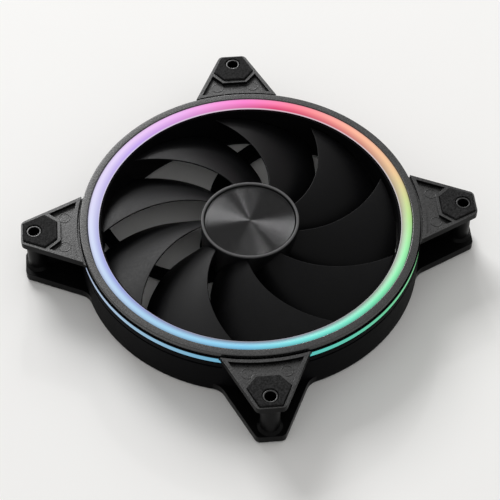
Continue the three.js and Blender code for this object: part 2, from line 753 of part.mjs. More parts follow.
// The winding round one pole.
function coil(angle) {
  const innerHeight = coilTop - coilBottom - COIL_THICKNESS * 2;
  const innerWidth = (POLE_HALF_WIDTH + FIT_GAP) * 2;
  const outerWidth = innerWidth + COIL_THICKNESS * 2;
  const outline = roundedRectangle(coilTop - coilBottom, outerWidth, COIL_CORNER);
  const h = innerHeight / 2;
  const w = innerWidth / 2;
  outline.holes.push(polygon([[-h, -w], [-h, w], [h, w], [h, -w]]));
  const length = coilOuterRadius - coilInnerRadius;
  const winding = raised(outline, 0, length, SHORT_ARC_FACETS);
  const upright = winding.rotate([0, 90, 0]);
  return turnedBy(movedBy(upright, coilInnerRadius, 0, (coilTop + coilBottom) / 2), angle);
}

// A small flat component whose middle is at a radius on the board.
function component(size, radius, bottom, angle) {
  const part = box(
    [radius - size.radial / 2, -size.across / 2, bottom],
    [radius + size.radial / 2, size.across / 2, bottom + size.height],
  );
  return turnedBy(part, angle);
}

const sensorRadius = statorRadius - FIT_GAP - HALL_SENSOR.radial / 2;

function motorBoard() {
  const board = ring(motorBoardInner, motorBoardOuter, motorBoardBottom, motorBoardTop, HUB_FACETS);
  const chipRadius = statorRadius - DRIVER_CHIP.radial;
  const chip = component(DRIVER_CHIP, chipRadius, motorBoardTop - EMBED, cornerAngles[2]);
  return board.add(chip);
}

function hallSensor() {
  return component(HALL_SENSOR, sensorRadius, motorBoardTop + FIT_GAP, cornerAngles[0]);
}

function rearLabel() {
  const top = baseFloorBottom - FIT_GAP;
  return ring(0, baseRadius - LABEL_RIM - FIT_GAP, top - LABEL_THICKNESS, top, HUB_FACETS);
}

// ---- Rotor -------------------------------------------------------------------------------------------

const mix = (from, to, share) => from + (to - from) * share;

// One blade: a box with a fine grid, bent so that it leans forwards, twists and thins outwards.
function blade(index) {
  const inner = HUB_RADIUS - EMBED;
  const outer = ductRadius - TIP_CLEARANCE;
  const geometry = new THREE.BoxGeometry(1, 1, 1, BLADE_FACETS.out, BLADE_FACETS.chord, 1);
  const position = geometry.attributes.position;
  const low = hubBottom + BLADE_LIFT;
  const high = FAN_DEPTH - BLADE_DROP;
  const startAngle = BLADE_START_ANGLE + (index * 360) / BLADE_COUNT;
  for (let vertex = 0; vertex < position.count; vertex += 1) {
    const out = position.getX(vertex) + 0.5;
    const chord = position.getY(vertex) * 2;
    const side = position.getZ(vertex);
    const radius = mix(inner, outer, out);
    const halfSpan = radians(mix(BLADE_SPAN_HUB, BLADE_SPAN_TIP, out)) / 2;
    const rise = high - low - BLADE_TIP_FLATTEN * 2 * out;
    const bulge = 1 - chord ** 2;
    const normal = new THREE.Vector2(-rise / 2, halfSpan * radius).normalize();
    const thickness = mix(BLADE_EDGE_THICKNESS, BLADE_THICKNESS, bulge);
    const offset = side * thickness + bulge * BLADE_CAMBER;
    const middleAngle = radians(startAngle) + radians(BLADE_SWEEP) * out;
    const angle = middleAngle + halfSpan * chord + (offset * normal.x) / radius;
    const height = (low + high) / 2 + (rise / 2) * chord + offset * normal.y;
    position.setXYZ(vertex, radius * Math.cos(angle), radius * Math.sin(angle), height);
  }
  return solidOf(geometry);
}

function hub() {
  const lipInner = HUB_RADIUS - HUB_LIP;
  const bossBore = SHAFT_RADIUS + FIT_GAP;
  return turned(
    [
      [0, hubCeiling],
      [bossBore, hubCeiling],
      [bossBore, shaftBossBottom],
      [shaftBossRadius, shaftBossBottom],
      [shaftBossRadius, hubCeiling],
      [hubBore, hubCeiling],
      [hubBore, hubBottom],
      [HUB_RADIUS, hubBottom],
      [HUB_RADIUS, hubTop - HUB_CHAMFER],
      [HUB_RADIUS - HUB_CHAMFER, hubTop],
      [lipInner, hubTop],
      [lipInner, discSeat],
      [0, discSeat],
    ],
    HUB_FACETS,
  );
}

function impeller() {
  const outside = ring(0, ductRadius, 0, FAN_DEPTH).subtract(ring(0, hubBore, -CUT_PAST, hubCeiling));
  const blades = joined(around(BLADE_COUNT, blade)).intersect(outside);
  return hub().add(blades);
}

function hubDisc() {
  const outer = HUB_RADIUS - HUB_LIP - FIT_GAP;
  const bottom = discSeat + FIT_GAP;
  return ring(0, outer, bottom, bottom + DISC_THICKNESS, HUB_FACETS);
}

function rotorYoke() {
  const bore = shaftBossRadius + FIT_GAP;
  return turned(
    [
      [yokeInner, yokeBottom],
      [yokeOuter, yokeBottom],
      [yokeOuter, yokeTop],
      [bore, yokeTop],
      [bore, yokeCeiling],
      [yokeInner, yokeCeiling],
    ],
    HUB_FACETS,
  );
}

function rotorMagnet() {
  const bottom = yokeBottom + MAGNET_LIFT;
  return ring(magnetInner, magnetOuter, bottom, yokeCeiling - MAGNET_TOP_GAP, HUB_FACETS);
}

function shaft() {
  const grooveTop = clipGrooveBottom + CLIP_GROOVE_WIDTH;
  const bar = ring(0, SHAFT_RADIUS, shaftBottom, shaftTop, SHAFT_FACETS);
  const groove = ring(CLIP_GROOVE_RADIUS, CLIP_RADIUS, clipGrooveBottom, grooveTop, SHAFT_FACETS);
  return bar.subtract(groove);
}

function shaftClip() {
  const inner = CLIP_GROOVE_RADIUS + FIT_GAP;
  return ring(inner, CLIP_RADIUS, clipBottom, clipBottom + CLIP_THICKNESS, SHAFT_FACETS);
}

// ---- Finishes and assembly ------------------------------------------------------------------------------

const FINISHES = {
  blackPlastic: { color: 0x1d1d1f, roughness: 0.55, metalness: 0 },
  greyPlastic: { color: 0x3c3c3e, roughness: 0.45, metalness: 0 },
  padRubber: { color: 0x141415, roughness: 0.9, metalness: 0 },
  diffuser: { color: 0xcfe4f2, roughness: 0.35, metalness: 0 },
  spunMetal: { color: 0x59595b, roughness: 0.3, metalness: 0.9 },
  steel: { color: 0x8f9194, roughness: 0.35, metalness: 1 },
  ferrite: { color: 0x2b2a2c, roughness: 0.7, metalness: 0.2 },
  bronze: { color: 0x9c7442, roughness: 0.4, metalness: 1 },
  brass: { color: 0xb99a52, roughness: 0.3, metalness: 1 },
  copper: { color: 0xb0602f, roughness: 0.35, metalness: 1 },
  laminate: { color: 0x77797c, roughness: 0.45, metalness: 1 },
  bobbinPlastic: { color: 0xe8e4da, roughness: 0.5, metalness: 0 },
  circuitBoard: { color: 0x1c4b2e, roughness: 0.5, metalness: 0 },
  whiteBoard: { color: 0xd9dad6, roughness: 0.5, metalness: 0 },
  chip: { color: 0x151517, roughness: 0.5, metalness: 0 },
  sealPlastic: { color: 0x8a3b24, roughness: 0.6, metalness: 0 },
  labelFilm: { color: 0x2a2a2c, roughness: 0.4, metalness: 0 },
};

const fan = new THREE.Group();
const housing = new THREE.Group();
const rotor = new THREE.Group();
fan.add(housing, rotor);

function addPiece(group, name, solid, finish) {
  const mesh = new THREE.Mesh(geometryOf(solid), new THREE.MeshStandardMaterial(FINISHES[finish]));
  mesh.name = name;
  group.add(mesh);
}

addPiece(housing, "fan_frame", frame(), "blackPlastic");
addPiece(housing, "front_bezel", frontBezel(), "greyPlastic");
addPiece(housing, "light_ring", lightRing(), "diffuser");
addPiece(housing, "light_board", lightBoard(), "whiteBoard");
sideAngles.forEach((angle, index) => {
  addPiece(housing, `side_light_strip_${index + 1}`, sideStrip(angle), "diffuser");
});
cornerAngles.forEach((angle, index) => {
  const pad = frontPad(angle);
  addPiece(housing, `front_pad_${index + 1}`, pad, "padRubber");
  addPiece(housing, `rear_pad_${index + 1}`, mirroredInZ(pad), "padRubber");
});
addPiece(housing, "bearing_housing", bearingHousing(), "brass");
addPiece(housing, "bearing_sleeve", bearingSleeve(), "bronze");
addPiece(housing, "bearing_cap", bearingCap(), "bobbinPlastic");
addPiece(housing, "thrust_disc", thrustDisc(), "labelFilm");
addPiece(housing, "oil_seal", oilSeal(), "sealPlastic");
addPiece(housing, "stator_core", statorCore(), "laminate");
addPiece(housing, "upper_bobbin", upperBobbin(), "bobbinPlastic");
addPiece(housing, "lower_bobbin", lowerBobbin(), "bobbinPlastic");
poleAngles.forEach((angle, index) => {
  addPiece(housing, `stator_coil_${index + 1}`, coil(angle), "copper");
});
addPiece(housing, "motor_board", motorBoard(), "circuitBoard");
addPiece(housing, "hall_sensor", hallSensor(), "chip");
addPiece(housing, "rear_label", rearLabel(), "labelFilm");
addPiece(rotor, "impeller", impeller(), "blackPlastic");
addPiece(rotor, "hub_disc", hubDisc(), "spunMetal");
addPiece(rotor, "rotor_yoke", rotorYoke(), "steel");
addPiece(rotor, "rotor_magnet", rotorMagnet(), "ferrite");
addPiece(rotor, "shaft", shaft(), "steel");
addPiece(rotor, "shaft_clip", shaftClip(), "steel");

export default fan;
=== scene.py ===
"""Looks of a 140 mm computer case fan: black moulded frame, lit front ring and side strips,
nine-blade impeller.

Shapes are worked out in millimetres and degrees, +Z to the front, and are scaled to metres when
a piece is finished.
"""
import math

import bmesh
import bpy
from mathutils import Matrix, Vector


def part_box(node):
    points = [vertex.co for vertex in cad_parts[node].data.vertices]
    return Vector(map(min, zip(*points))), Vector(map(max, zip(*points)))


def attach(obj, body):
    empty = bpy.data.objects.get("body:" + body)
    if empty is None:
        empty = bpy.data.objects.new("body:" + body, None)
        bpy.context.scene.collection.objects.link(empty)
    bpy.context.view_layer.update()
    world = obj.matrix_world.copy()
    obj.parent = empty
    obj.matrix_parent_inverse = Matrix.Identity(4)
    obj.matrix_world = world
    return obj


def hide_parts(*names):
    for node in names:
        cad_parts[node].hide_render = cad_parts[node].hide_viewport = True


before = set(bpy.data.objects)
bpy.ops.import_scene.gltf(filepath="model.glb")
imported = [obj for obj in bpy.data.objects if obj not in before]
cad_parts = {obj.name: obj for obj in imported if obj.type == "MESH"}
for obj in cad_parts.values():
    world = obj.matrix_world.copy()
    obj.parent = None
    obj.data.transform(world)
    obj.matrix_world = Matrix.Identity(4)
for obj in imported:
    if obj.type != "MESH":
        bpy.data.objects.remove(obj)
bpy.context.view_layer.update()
MM = 0.001


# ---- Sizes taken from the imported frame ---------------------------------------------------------


class Ring:
    """Outer radius, lowest height and highest height of a round node, in millimetres."""

    def __init__(self, node):
        low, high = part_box(node)
        self.radius = high.x / MM
        self.bottom = low.z / MM
        self.top = high.z / MM


BEZEL = Ring("front_bezel")
LIGHT = Ring("light_ring")
DISC = Ring("hub_disc")
LABEL = Ring("rear_label")
STRIP = Ring("side_light_strip_1")
ROTOR = Ring("impeller")
PAD_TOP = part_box("front_pad_1")[1].z / MM
PAD_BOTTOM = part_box("front_pad_1")[0].z / MM


# ---- Sizes of the pieces, in millimetres and degrees -------------------------------------------

FIT_GAP = 0.3  # between pieces that meet
OVERLAP = 0.4  # how far joined solids run into each other
CUT_MARGIN = 1  # how far a cutter runs past what it cuts

# Duct body
STRIP_SINK = 0.1  # a strip's face below the body's side
BODY_RADIUS = STRIP.radius + STRIP_SINK
BODY_TOP = BEZEL.bottom - FIT_GAP
BODY_BOTTOM = 0.8
MOULD_ROUNDING = 0.15
CHANNEL = (62.4, 66.0)  # inner and outer radius of the lighting channel
CHANNEL_FLOOR = 17.5
DUCT_RADIUS = 61.0
DUCT_FLARE = 1.0
DUCT_WALL_TOP = 22.9
POCKET = (63.6, 68.4)  # inner and outer radius of the rear pockets
POCKET_ROOF = 15.5
POCKET_COUNT = 12
POCKET_RIB = 1.8
WINDOW_GAP = 0.3  # round a side strip
SIDE_LINE = (16.1, 16.9)
SIDE_LINE_DEPTH = 0.6
STRIP_HALF_ANGLE = 30.8
BODY_STEP = 1.5  # degrees of one facet
BODY_SIDES = round(360 / BODY_STEP)
OUTLET_ANGLE = 122.0
OUTLET_WIDTH = 7.0
OUTLET_TOP = 3.4

# Corner ears, in a frame whose X axis runs out along an ear's middle
EAR_ANGLES = (45, 135, 225, 315)
HOLE_REACH = 88.035
HOLE_RADIUS = 2.25
TUBE_RADIUS = 2.95
TUBE_SINK = 0.4
COLUMN_RADIUS = 4.0
EAR_TIP = 93.335
EAR_TIP_HALF_WIDTH = 5.5
EAR_TAPER = 25.5
EAR_TIP_ROUNDING = 2.5
FILLET_STEPS = 10
TIP_STEPS = 8
FRONT_PLATE = (21.3, 24.2)
REAR_PLATE = (0.8, 4.5)
FRONT_FILLET = 0.8
REAR_FILLET = 7.0
GROOVE_RADIUS = 70.65  # ears' front plates start here, clear of the bezel
POCKET_START = 72.1
POCKET_DEPTH = 1.5
RECESS_DEPTH = 1.3
EAR_RIM = 1.5
EAR_TIP_RIM = 1.0
PAD_RIB = 1.2
PAD_ROUNDING = 0.3
PAD_INNER = (9.2, 4.4)  # reach inwards from the hole, and half width
PAD_WIDEST = 4.3
WEB_THICKNESS = 2.0
FOOT_SPREAD = 1.2  # of the cove round a column's foot
FOOT_RISE = 1.6
PIN_MARK = (75.8, 7.6)  # middle of an ejector pin's mark beside the ear's middle
PIN_MARK_RADIUS = 2.5
PIN_MARK_WIDTH = 0.35
PIN_MARK_HEIGHT = 0.14
PLATE_ROUNDING = 0.32
TUBE_ROUNDING = 0.2
HOLE_STEP = 6  # degrees of one facet round a screw hole
UPRIGHT = 0.4  # a face whose normal rises less than this is a side

# Struts and motor base
STRUT_RIM_ANGLE = 32
STRUT_SWEEP = 48
STRUT_WIDTH = 4.0
STRUT_TOP = 5.0
STRUT_ENDS = (0.8, 0.7)  # how far a strut runs into the base and into the duct
STRUT_ROUNDING = 0.7
STRUT_GRID = (26, 2)
CABLE_STRUT = 1
CABLE_STRUT_WIDTH = 6.4
CABLE_WIDTH = 3.6
BASE_RADIUS = 21.0
BASE_TOP = 5.7
BASE_FLOOR = (1.4, 3.0)
BASE_BOSS = (4.4, 6.2)  # inner and outer radius of the bearing's boss
BASE_RIM = (18.2, 19.4)  # inner radius of the rim below and above the floor
BASE_ROUNDING = 0.25
POST_REACH = 12
POST_RADIUS = 1.2

# Bezel, light ring and side strips
BEZEL_WIDTH = 3.1
BEZEL_ROUNDING = 0.35
RING_INNER = CHANNEL[0] - 0.55
RING_EDGE_DROP = 1.2  # the inner edge below the ring's highest line
RING_LIP = 0.5
RING_FLANGE_DROP = 1.5
RING_DOME_STEPS = 10
RING_ROUNDING = 0.06
STRIP_ROUNDING = 0.25

# Rotor
TURNING_STEP = 3  # degrees of one facet of the small turned pieces
HUB_RADIUS = 20.1
HUB_TOP = 23.3
HUB_LIP = 1.15
HUB_SEAT = 21.6
HUB_CEILING = 20.2
HUB_BORE = 18.9
HUB_ROUNDING = 0.3
SHAFT_BOSS = (1.8, 4.0)  # bore and outer radius
SHAFT_BOSS_BOTTOM = 17.8
BLADE_COUNT = 9
BLADE_TIP_RADIUS = 60.3
BLADE_START = 8
BLADE_LEAN = 37
BLADE_SPAN = (38, 39)  # degrees at the hub and at the tip
BLADE_HEIGHT = (7.1, 21.4)
BLADE_FLATTEN = 3.2
BLADE_CAMBER = 1.6
BLADE_THICKNESS = (0.6, 1.5)  # at the edges and in the middle
BLADE_EDGE = 0.2
BLADE_GRID = (30, 18)
DISC_RING = 0.24  # pitch of the disc's turned rings
DISC_RING_DEPTH = 0.042
DISC_RING_FACETS = 6
DISC_RINGS = (0.4, 0.2)  # from the disc's edge in, and from its middle out
DISC_CHAMFER = (0.2, 0.15)  # inwards and down
DISC_STEP = 4
LABEL_ROUNDING = 0.06

# Studio, in metres and watts
FLOOR_HALF_WIDTH = 4.0
SKY_STRENGTH = 0.56
LAMPS = (  # name, place, size and power
    ("back left softbox", (-2.62, 1.2, 1.93), 1.45, 72),
    ("back lamp", (-1.3, 1.47, 1.0), 0.42, 4),
    ("spot lamp", (-1.37, 1.38, 1.03), 0.06, 2.5),
)
CAMERA_PLACE = (0.2821, -0.3361, 0.5505)
CAMERA_TARGET = (0.0113, -0.0135, 0.025)
FOCAL_LENGTH = 120.64
SENSOR_WIDTH = 36


# ---- Solids ------------------------------------------------------------------------------------


def mix(start, end, share):
    return start + (end - start) * share


def polar(radius, degrees):
    angle = math.radians(degrees)
    return radius * math.cos(angle), radius * math.sin(angle)


def closed(bm):
    """Merges a solid's doubles and points its faces outwards."""
    bmesh.ops.remove_doubles(bm, verts=bm.verts[:], dist=1e-4)
    bmesh.ops.recalc_face_normals(bm, faces=bm.faces[:])
    return bm


def round_corners(bm, corners, radius, segments=3):
    bmesh.ops.bevel(
        bm,
        geom=corners,
        offset=radius,
        offset_type="OFFSET",
        segments=segments,
        profile=0.5,
        affect="VERTICES",
        material=-1,
        clamp_overlap=True,
    )


def turned(points, rounding=0.2, start=0.0, sweep=360.0, step=BODY_STEP):
    """A profile of (radius, height) points turned round the fan's axis."""
    bm = bmesh.new()
    bm.faces.new([bm.verts.new((radius, 0, height)) for radius, height in points])
    if rounding:
        round_corners(bm, [corner for corner in bm.verts if corner.co.x > rounding], rounding)
    bmesh.ops.rotate(bm, verts=bm.verts[:], matrix=Matrix.Rotation(math.radians(start), 3, "Z"))
    whole = sweep == 360.0
    if whole:
        bmesh.ops.delete(bm, geom=bm.faces[:], context="FACES_ONLY")
        on_axis = [edge for edge in bm.edges if all(end.co.xy.length < 1e-6 for end in edge.verts)]
        bmesh.ops.delete(bm, geom=on_axis, context="EDGES")
    bmesh.ops.spin(
        bm,
        geom=bm.verts[:] + bm.edges[:] + bm.faces[:],
        cent=(0, 0, 0),
        axis=(0, 0, 1),
        angle=math.radians(sweep),
        steps=max(2, round(sweep / step)),
        use_merge=whole,
        use_duplicate=False,
    )
    return closed(bm)


def raised(outline, bottom, top):
    """A flat outline of (x, y) points raised between two heights."""
    bm = bmesh.new()
    bm.faces.new([bm.verts.new((x, y, bottom)) for x, y in outline])
    grown = bmesh.ops.extrude_face_region(bm, geom=bm.faces[:])["geom"]
    lifted = [item for item in grown if isinstance(item, bmesh.types.BMVert)]
    bmesh.ops.translate(bm, verts=lifted, vec=(0, 0, top - bottom))
    return closed(bm)


def cylinder(x, y, radius, bottom, top, sides=48):
    bm = bmesh.new()
    height = top - bottom
    middle = Matrix.Translation((x, y, (bottom + top) / 2))
    bmesh.ops.create_cone(
        bm,
        cap_ends=True,
        segments=sides,
        radius1=radius,
        radius2=radius,
        depth=height,
        matrix=middle,
    )
    return bm


def block(low, high):
    bm = bmesh.new()
    size = [top - bottom for bottom, top in zip(low, high)]
    middle = [(top + bottom) / 2 for bottom, top in zip(low, high)]
    bmesh.ops.create_cube(bm, size=1, matrix=Matrix.Translation(middle) @ Matrix.Diagonal((*size, 1)))
    return bm


def bent(cuts, law):
    """A block with a fine grid, whose points, as three shares from 0 to 1, a law moves."""
    bm = bmesh.new()
    bmesh.ops.create_grid(bm, x_segments=cuts[0], y_segments=cuts[1], size=0.5)
    grown = bmesh.ops.extrude_face_region(bm, geom=bm.faces[:])["geom"]
    lifted = [item for item in grown if isinstance(item, bmesh.types.BMVert)]
    bmesh.ops.translate(bm, verts=lifted, vec=(0, 0, 1))
    for vertex in bm.verts:
        vertex.co = law(vertex.co.x + 0.5, vertex.co.y + 0.5, vertex.co.z)
    return closed(bm)


def softened(bm, width, segments=2, chosen=lambda edge: True):
    """The solid with its sharp edges rounded."""
    sharp = math.radians(35)
    edges = [
        edge
        for edge in bm.edges
        if edge.is_manifold and edge.calc_face_angle(0) > sharp and chosen(edge)
    ]
    bmesh.ops.bevel(
        bm,
        geom=edges,
        offset=width,
        offset_type="OFFSET",
        segments=segments,
        profile=0.5,
        affect="EDGES",
        material=-1,
        clamp_overlap=True,
    )
    return bm


def loose_object(bm, name):
    mesh = bpy.data.meshes.new(name)
    bm.to_mesh(mesh)
    bm.free()
    made = bpy.data.objects.new(name, mesh)
    bpy.context.scene.collection.objects.link(made)
    return made


def cut(bm, *cutters):
    """The solid less the cutters."""
    whole = loose_object(bm, "blank")
    tools = [loose_object(cutter, "cutter") for cutter in cutters]
    for tool in tools:
        modifier = whole.modifiers.new("cut", "BOOLEAN")
        modifier.operation = "DIFFERENCE"
        modifier.solver = "EXACT"
        modifier.object = tool
    ready = whole.evaluated_get(bpy.context.evaluated_depsgraph_get())
    result = bmesh.new()
    result.from_mesh(ready.to_mesh())
    for item in (whole, *tools):
        mesh = item.data
        bpy.data.objects.remove(item)
        bpy.data.meshes.remove(mesh)
    bmesh.ops.remove_doubles(result, verts=result.verts[:], dist=1e-4)
    flat = math.radians(0.5)
    bmesh.ops.dissolve_limit(result, angle_limit=flat, verts=result.verts[:], edges=result.edges[:])
    return result


def moved(bm, matrix):
    bmesh.ops.transform(bm, matrix=matrix, verts=bm.verts[:])
    if matrix.determinant() < 0:
        bmesh.ops.reverse_faces(bm, faces=bm.faces[:])
    return bm


def turned_to(bm, degrees):
    return moved(bm, Matrix.Rotation(math.radians(degrees), 4, "Z"))


FRONT_TO_REAR = Matrix.Translation((0, 0, PAD_TOP)) @ Matrix.Diagonal((1, 1, -1, 1))


def mirrored(bm):
    """A front piece as the rear piece that it matches."""
    return moved(bm, FRONT_TO_REAR)


def piece(name, solids, finish, body, nodes, sharp=40, shaded_side_finish=None):
    """Joins solids into one finished piece that stands for some CAD nodes.

    Upright faces may have a darker finish of their own: painted shade, against the lighter flat
    faces.
    """
    whole = bmesh.new()
    for solid in solids:
        part = bpy.data.meshes.new("part")
        solid.to_mesh(part)
        solid.free()
        whole.from_mesh(part)
        bpy.data.meshes.remove(part)
    bmesh.ops.scale(whole, vec=(MM, MM, MM), verts=whole.verts[:])
    made = loose_object(whole, name)
    made.data.materials.append(finish)
    if shaded_side_finish:
        made.data.materials.append(shaded_side_finish)
        for face in made.data.polygons:
            face.material_index = int(abs(face.normal.z) < UPRIGHT)
    made.data.shade_smooth()
    made.data.set_sharp_from_angle(angle=math.radians(sharp))
    even = made.modifiers.new("even shading", "WEIGHTED_NORMAL")
    even.keep_sharp = True
    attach(made, body)
    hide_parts(*nodes)
    return made


# ---- Shader helpers ----------------------------------------------------------------------------


def linear(display):
    """A display colour as the linear colour that a shader takes."""
    shares = [(c / 12.92 if c <= 0.04045 else ((c + 0.055) / 1.055) ** 2.4) for c in display]
    return (*shares, 1.0)


class Wire:
    """A socket whose arithmetic adds Math nodes."""

    def __init__(self, finish, socket):
        self.finish = finish
        self.socket = socket

    def math(self, operation, *values):
        return self.finish.node("ShaderNodeMath", {"operation": operation}, dict(enumerate(values)))

    def __add__(self, other):
        return self.math("ADD", self, other)

    def __sub__(self, other):
        return self.math("SUBTRACT", self, other)

    def __rsub__(self, other):
        return self.math("SUBTRACT", other, self)

    def __mul__(self, other):
        return self.math("MULTIPLY", self, other)

    def __truediv__(self, other):
        return self.math("DIVIDE", self, other)

    def __pow__(self, other):
        return self.math("POWER", self, other)

    __radd__ = __add__
    __rmul__ = __mul__

    def clamped(self):
        return self.math("MINIMUM", self.math("MAXIMUM", self, 0.0), 1.0)


class Finish:
    """One material, built round a Principled shader."""

    def __init__(self, name, **constants):
        self.material = bpy.data.materials.new(name)
        self.material.use_nodes = True
        self.tree = self.material.node_tree
        self.tree.nodes.clear()
        self.shader = self.tree.nodes.new("ShaderNodeBsdfPrincipled")
        output = self.tree.nodes.new("ShaderNodeOutputMaterial")
        self.tree.links.new(self.shader.outputs[0], output.inputs[0])
        for socket, value in constants.items():
            self.shader.inputs[socket.replace("_", " ")].default_value = value

    def node(self, kind, settings=None, inputs=None, output=0):
        """Adds a node and returns one of its outputs."""
        made = self.tree.nodes.new(kind)
        for key, value in (settings or {}).items():
            if key == "stops":
                self.set_stops(made.color_ramp, value)
            else:
                setattr(made, key, value)
        for socket, value in (inputs or {}).items():
            self.feed(made.inputs[socket], value)
        return Wire(self, made.outputs[output])

    @staticmethod
    def set_stops(ramp, stops):
        while len(ramp.elements) < len(stops):
            ramp.elements.new(1.0)
        for element, (place, colour) in zip(ramp.elements, stops):
            element.position = place
            element.color = colour

    def feed(self, socket, value):
        if isinstance(value, Wire):
            self.tree.links.new(value.socket, socket)
        else:
            socket.default_value = value

    def set(self, **inputs):
        for socket, value in inputs.items():
            self.feed(self.shader.inputs[socket.replace("_", " ")], value)

    def place(self):
        """Object coordinates, in metres."""
        return self.node("ShaderNodeTexCoord", output=3)

    def noise(self, size_mm, detail=2.0):
        """Soft noise whose features are about so many millimetres wide, from 0 to 1."""
        inputs = {"Vector": self.place(), "Scale": 1 / (size_mm * MM), "Detail": detail}
        return self.node("ShaderNodeTexNoise", None, inputs)

    def cells(self, size_mm, feature="F1"):
        inputs = {"Vector": self.place(), "Scale": 1 / (size_mm * MM)}
        return self.node("ShaderNodeTexVoronoi", {"feature": feature}, inputs)

    def axes(self):
        """The three coordinates of a point, in millimetres."""
        split = self.node("ShaderNodeSeparateXYZ", None, {0: self.place()}).socket.node
        return [Wire(self, output) * (1 / MM) for output in split.outputs]

    def polar(self):
        """Distance from the fan's axis in millimetres, and the share of a turn from 0 to 1."""
        x, y, _ = self.axes()
        radius = (x * x + y * y) ** 0.5
        share = x.math("ARCTAN2", y, x) / math.tau
        return radius, share.math("FRACT", share + 1.0)

    def blend(self, share, first, second):
        settings = {"data_type": "RGBA"}
        return self.node("ShaderNodeMix", settings, {0: share, 6: first, 7: second}, output=2)

    def bump(self, height, depth_mm, strength=1.0):
        inputs = {"Height": height, "Distance": depth_mm * MM, "Strength": strength}
        self.set(Normal=self.node("ShaderNodeBump", None, inputs))


# ---- Finishes ----------------------------------------------------------------------------------


def grained_plastic(name, dark, light, roughness, grain_mm, depth_mm, specular=0.5, contrast=1.2):
    """Moulded plastic with a fine spark-eroded grain and a slow change of tone."""
    finish = Finish(name, Specular_IOR_Level=specular)
    cloud = finish.noise(9.0, detail=3.0)
    grain = finish.noise(grain_mm, detail=1.0)
    tone = (cloud * 0.5 + (grain - 0.5) * contrast + 0.25).clamped()
    finish.set(Base_Color=finish.blend(tone, linear(dark), linear(light)))
    finish.set(Roughness=roughness + (grain - 0.5) * 0.25 + (cloud - 0.5) * 0.08)
    finish.bump(grain, depth_mm, 0.6)
    return finish.material


def hub_plastic(name):
    """The blades' black plastic, with a painted highlight: grey on the lip round the disc, which is
    also glossier.
    """
    finish = Finish(name, Specular_IOR_Level=0.3)
    _, _, height = finish.axes()
    # Painted highlight: towards its top the hub turns from black to grey
    hub_top_highlight = ((height - (HUB_TOP - 0.9)) * 2).clamped()
    grain = finish.noise(0.5, detail=3.0)
    black = finish.blend(grain, linear((0.02, 0.02, 0.024)), linear((0.06, 0.06, 0.066)))
    grey = finish.blend(grain, linear((0.26, 0.26, 0.263)), linear((0.36, 0.36, 0.364)))
    finish.set(Base_Color=finish.blend(hub_top_highlight, black, grey))
    finish.set(Roughness=0.42 - hub_top_highlight * 0.12 + (grain - 0.5) * 0.1)
    finish.bump(grain, 0.008, 0.5)
    return finish.material


def rubber(name):
    """Dull rubber, with pale specks in a coarse grain."""
    finish = Finish(name, Specular_IOR_Level=0.15)
    grain = finish.noise(0.6, detail=2.0)
    specks = finish.cells(0.7)
    tone = ((grain - 0.5) * 2.4 + specks * 0.6 + 0.1).clamped()
    black, worn = linear((0.02, 0.02, 0.021)), linear((0.19, 0.19, 0.192))
    finish.set(Base_Color=finish.blend(tone, black, worn))
    finish.set(Roughness=0.8 + (grain - 0.5) * 0.2)
    finish.bump(grain + specks * 0.5, 0.06, 0.8)
    return finish.material


# Display colours round the light ring's top and its inner slope, by the angle from the +X side. The
# slope's colours are partly its lit colour, deepened, and partly painted shade, darkest from 300 to
# 30 degrees.
TOP_COLOURS = (
    (0, (0.36, 0.86, 0.63)),
    (25, (0.52, 0.89, 0.59)),
    (40, (0.65, 0.84, 0.47)),
    (62, (0.91, 0.75, 0.54)),
    (88, (0.98, 0.68, 0.57)),
    (112, (1.0, 0.49, 0.58)),
    (132, (0.99, 0.48, 0.80)),
    (158, (0.93, 0.69, 0.94)),
    (190, (0.88, 0.81, 0.96)),
    (225, (0.82, 0.84, 0.95)),
    (270, (0.61, 0.78, 0.90)),
    (308, (0.38, 0.74, 0.88)),
    (332, (0.33, 0.85, 0.80)),
    (360, (0.36, 0.86, 0.63)),
)
SLOPE_COLOURS_WITH_SHADE = (
    (0, (0.44, 0.50, 0.44)),
    (30, (0.44, 0.48, 0.39)),
    (60, (0.68, 0.60, 0.47)),
    (90, (0.78, 0.40, 0.40)),
    (120, (0.82, 0.10, 0.38)),
    (150, (0.82, 0.52, 0.78)),
    (180, (0.72, 0.60, 0.92)),
    (215, (0.71, 0.70, 0.87)),
    (250, (0.54, 0.57, 0.84)),
    (300, (0.41, 0.43, 0.50)),
    (330, (0.46, 0.45, 0.51)),
    (360, (0.44, 0.50, 0.44)),
)


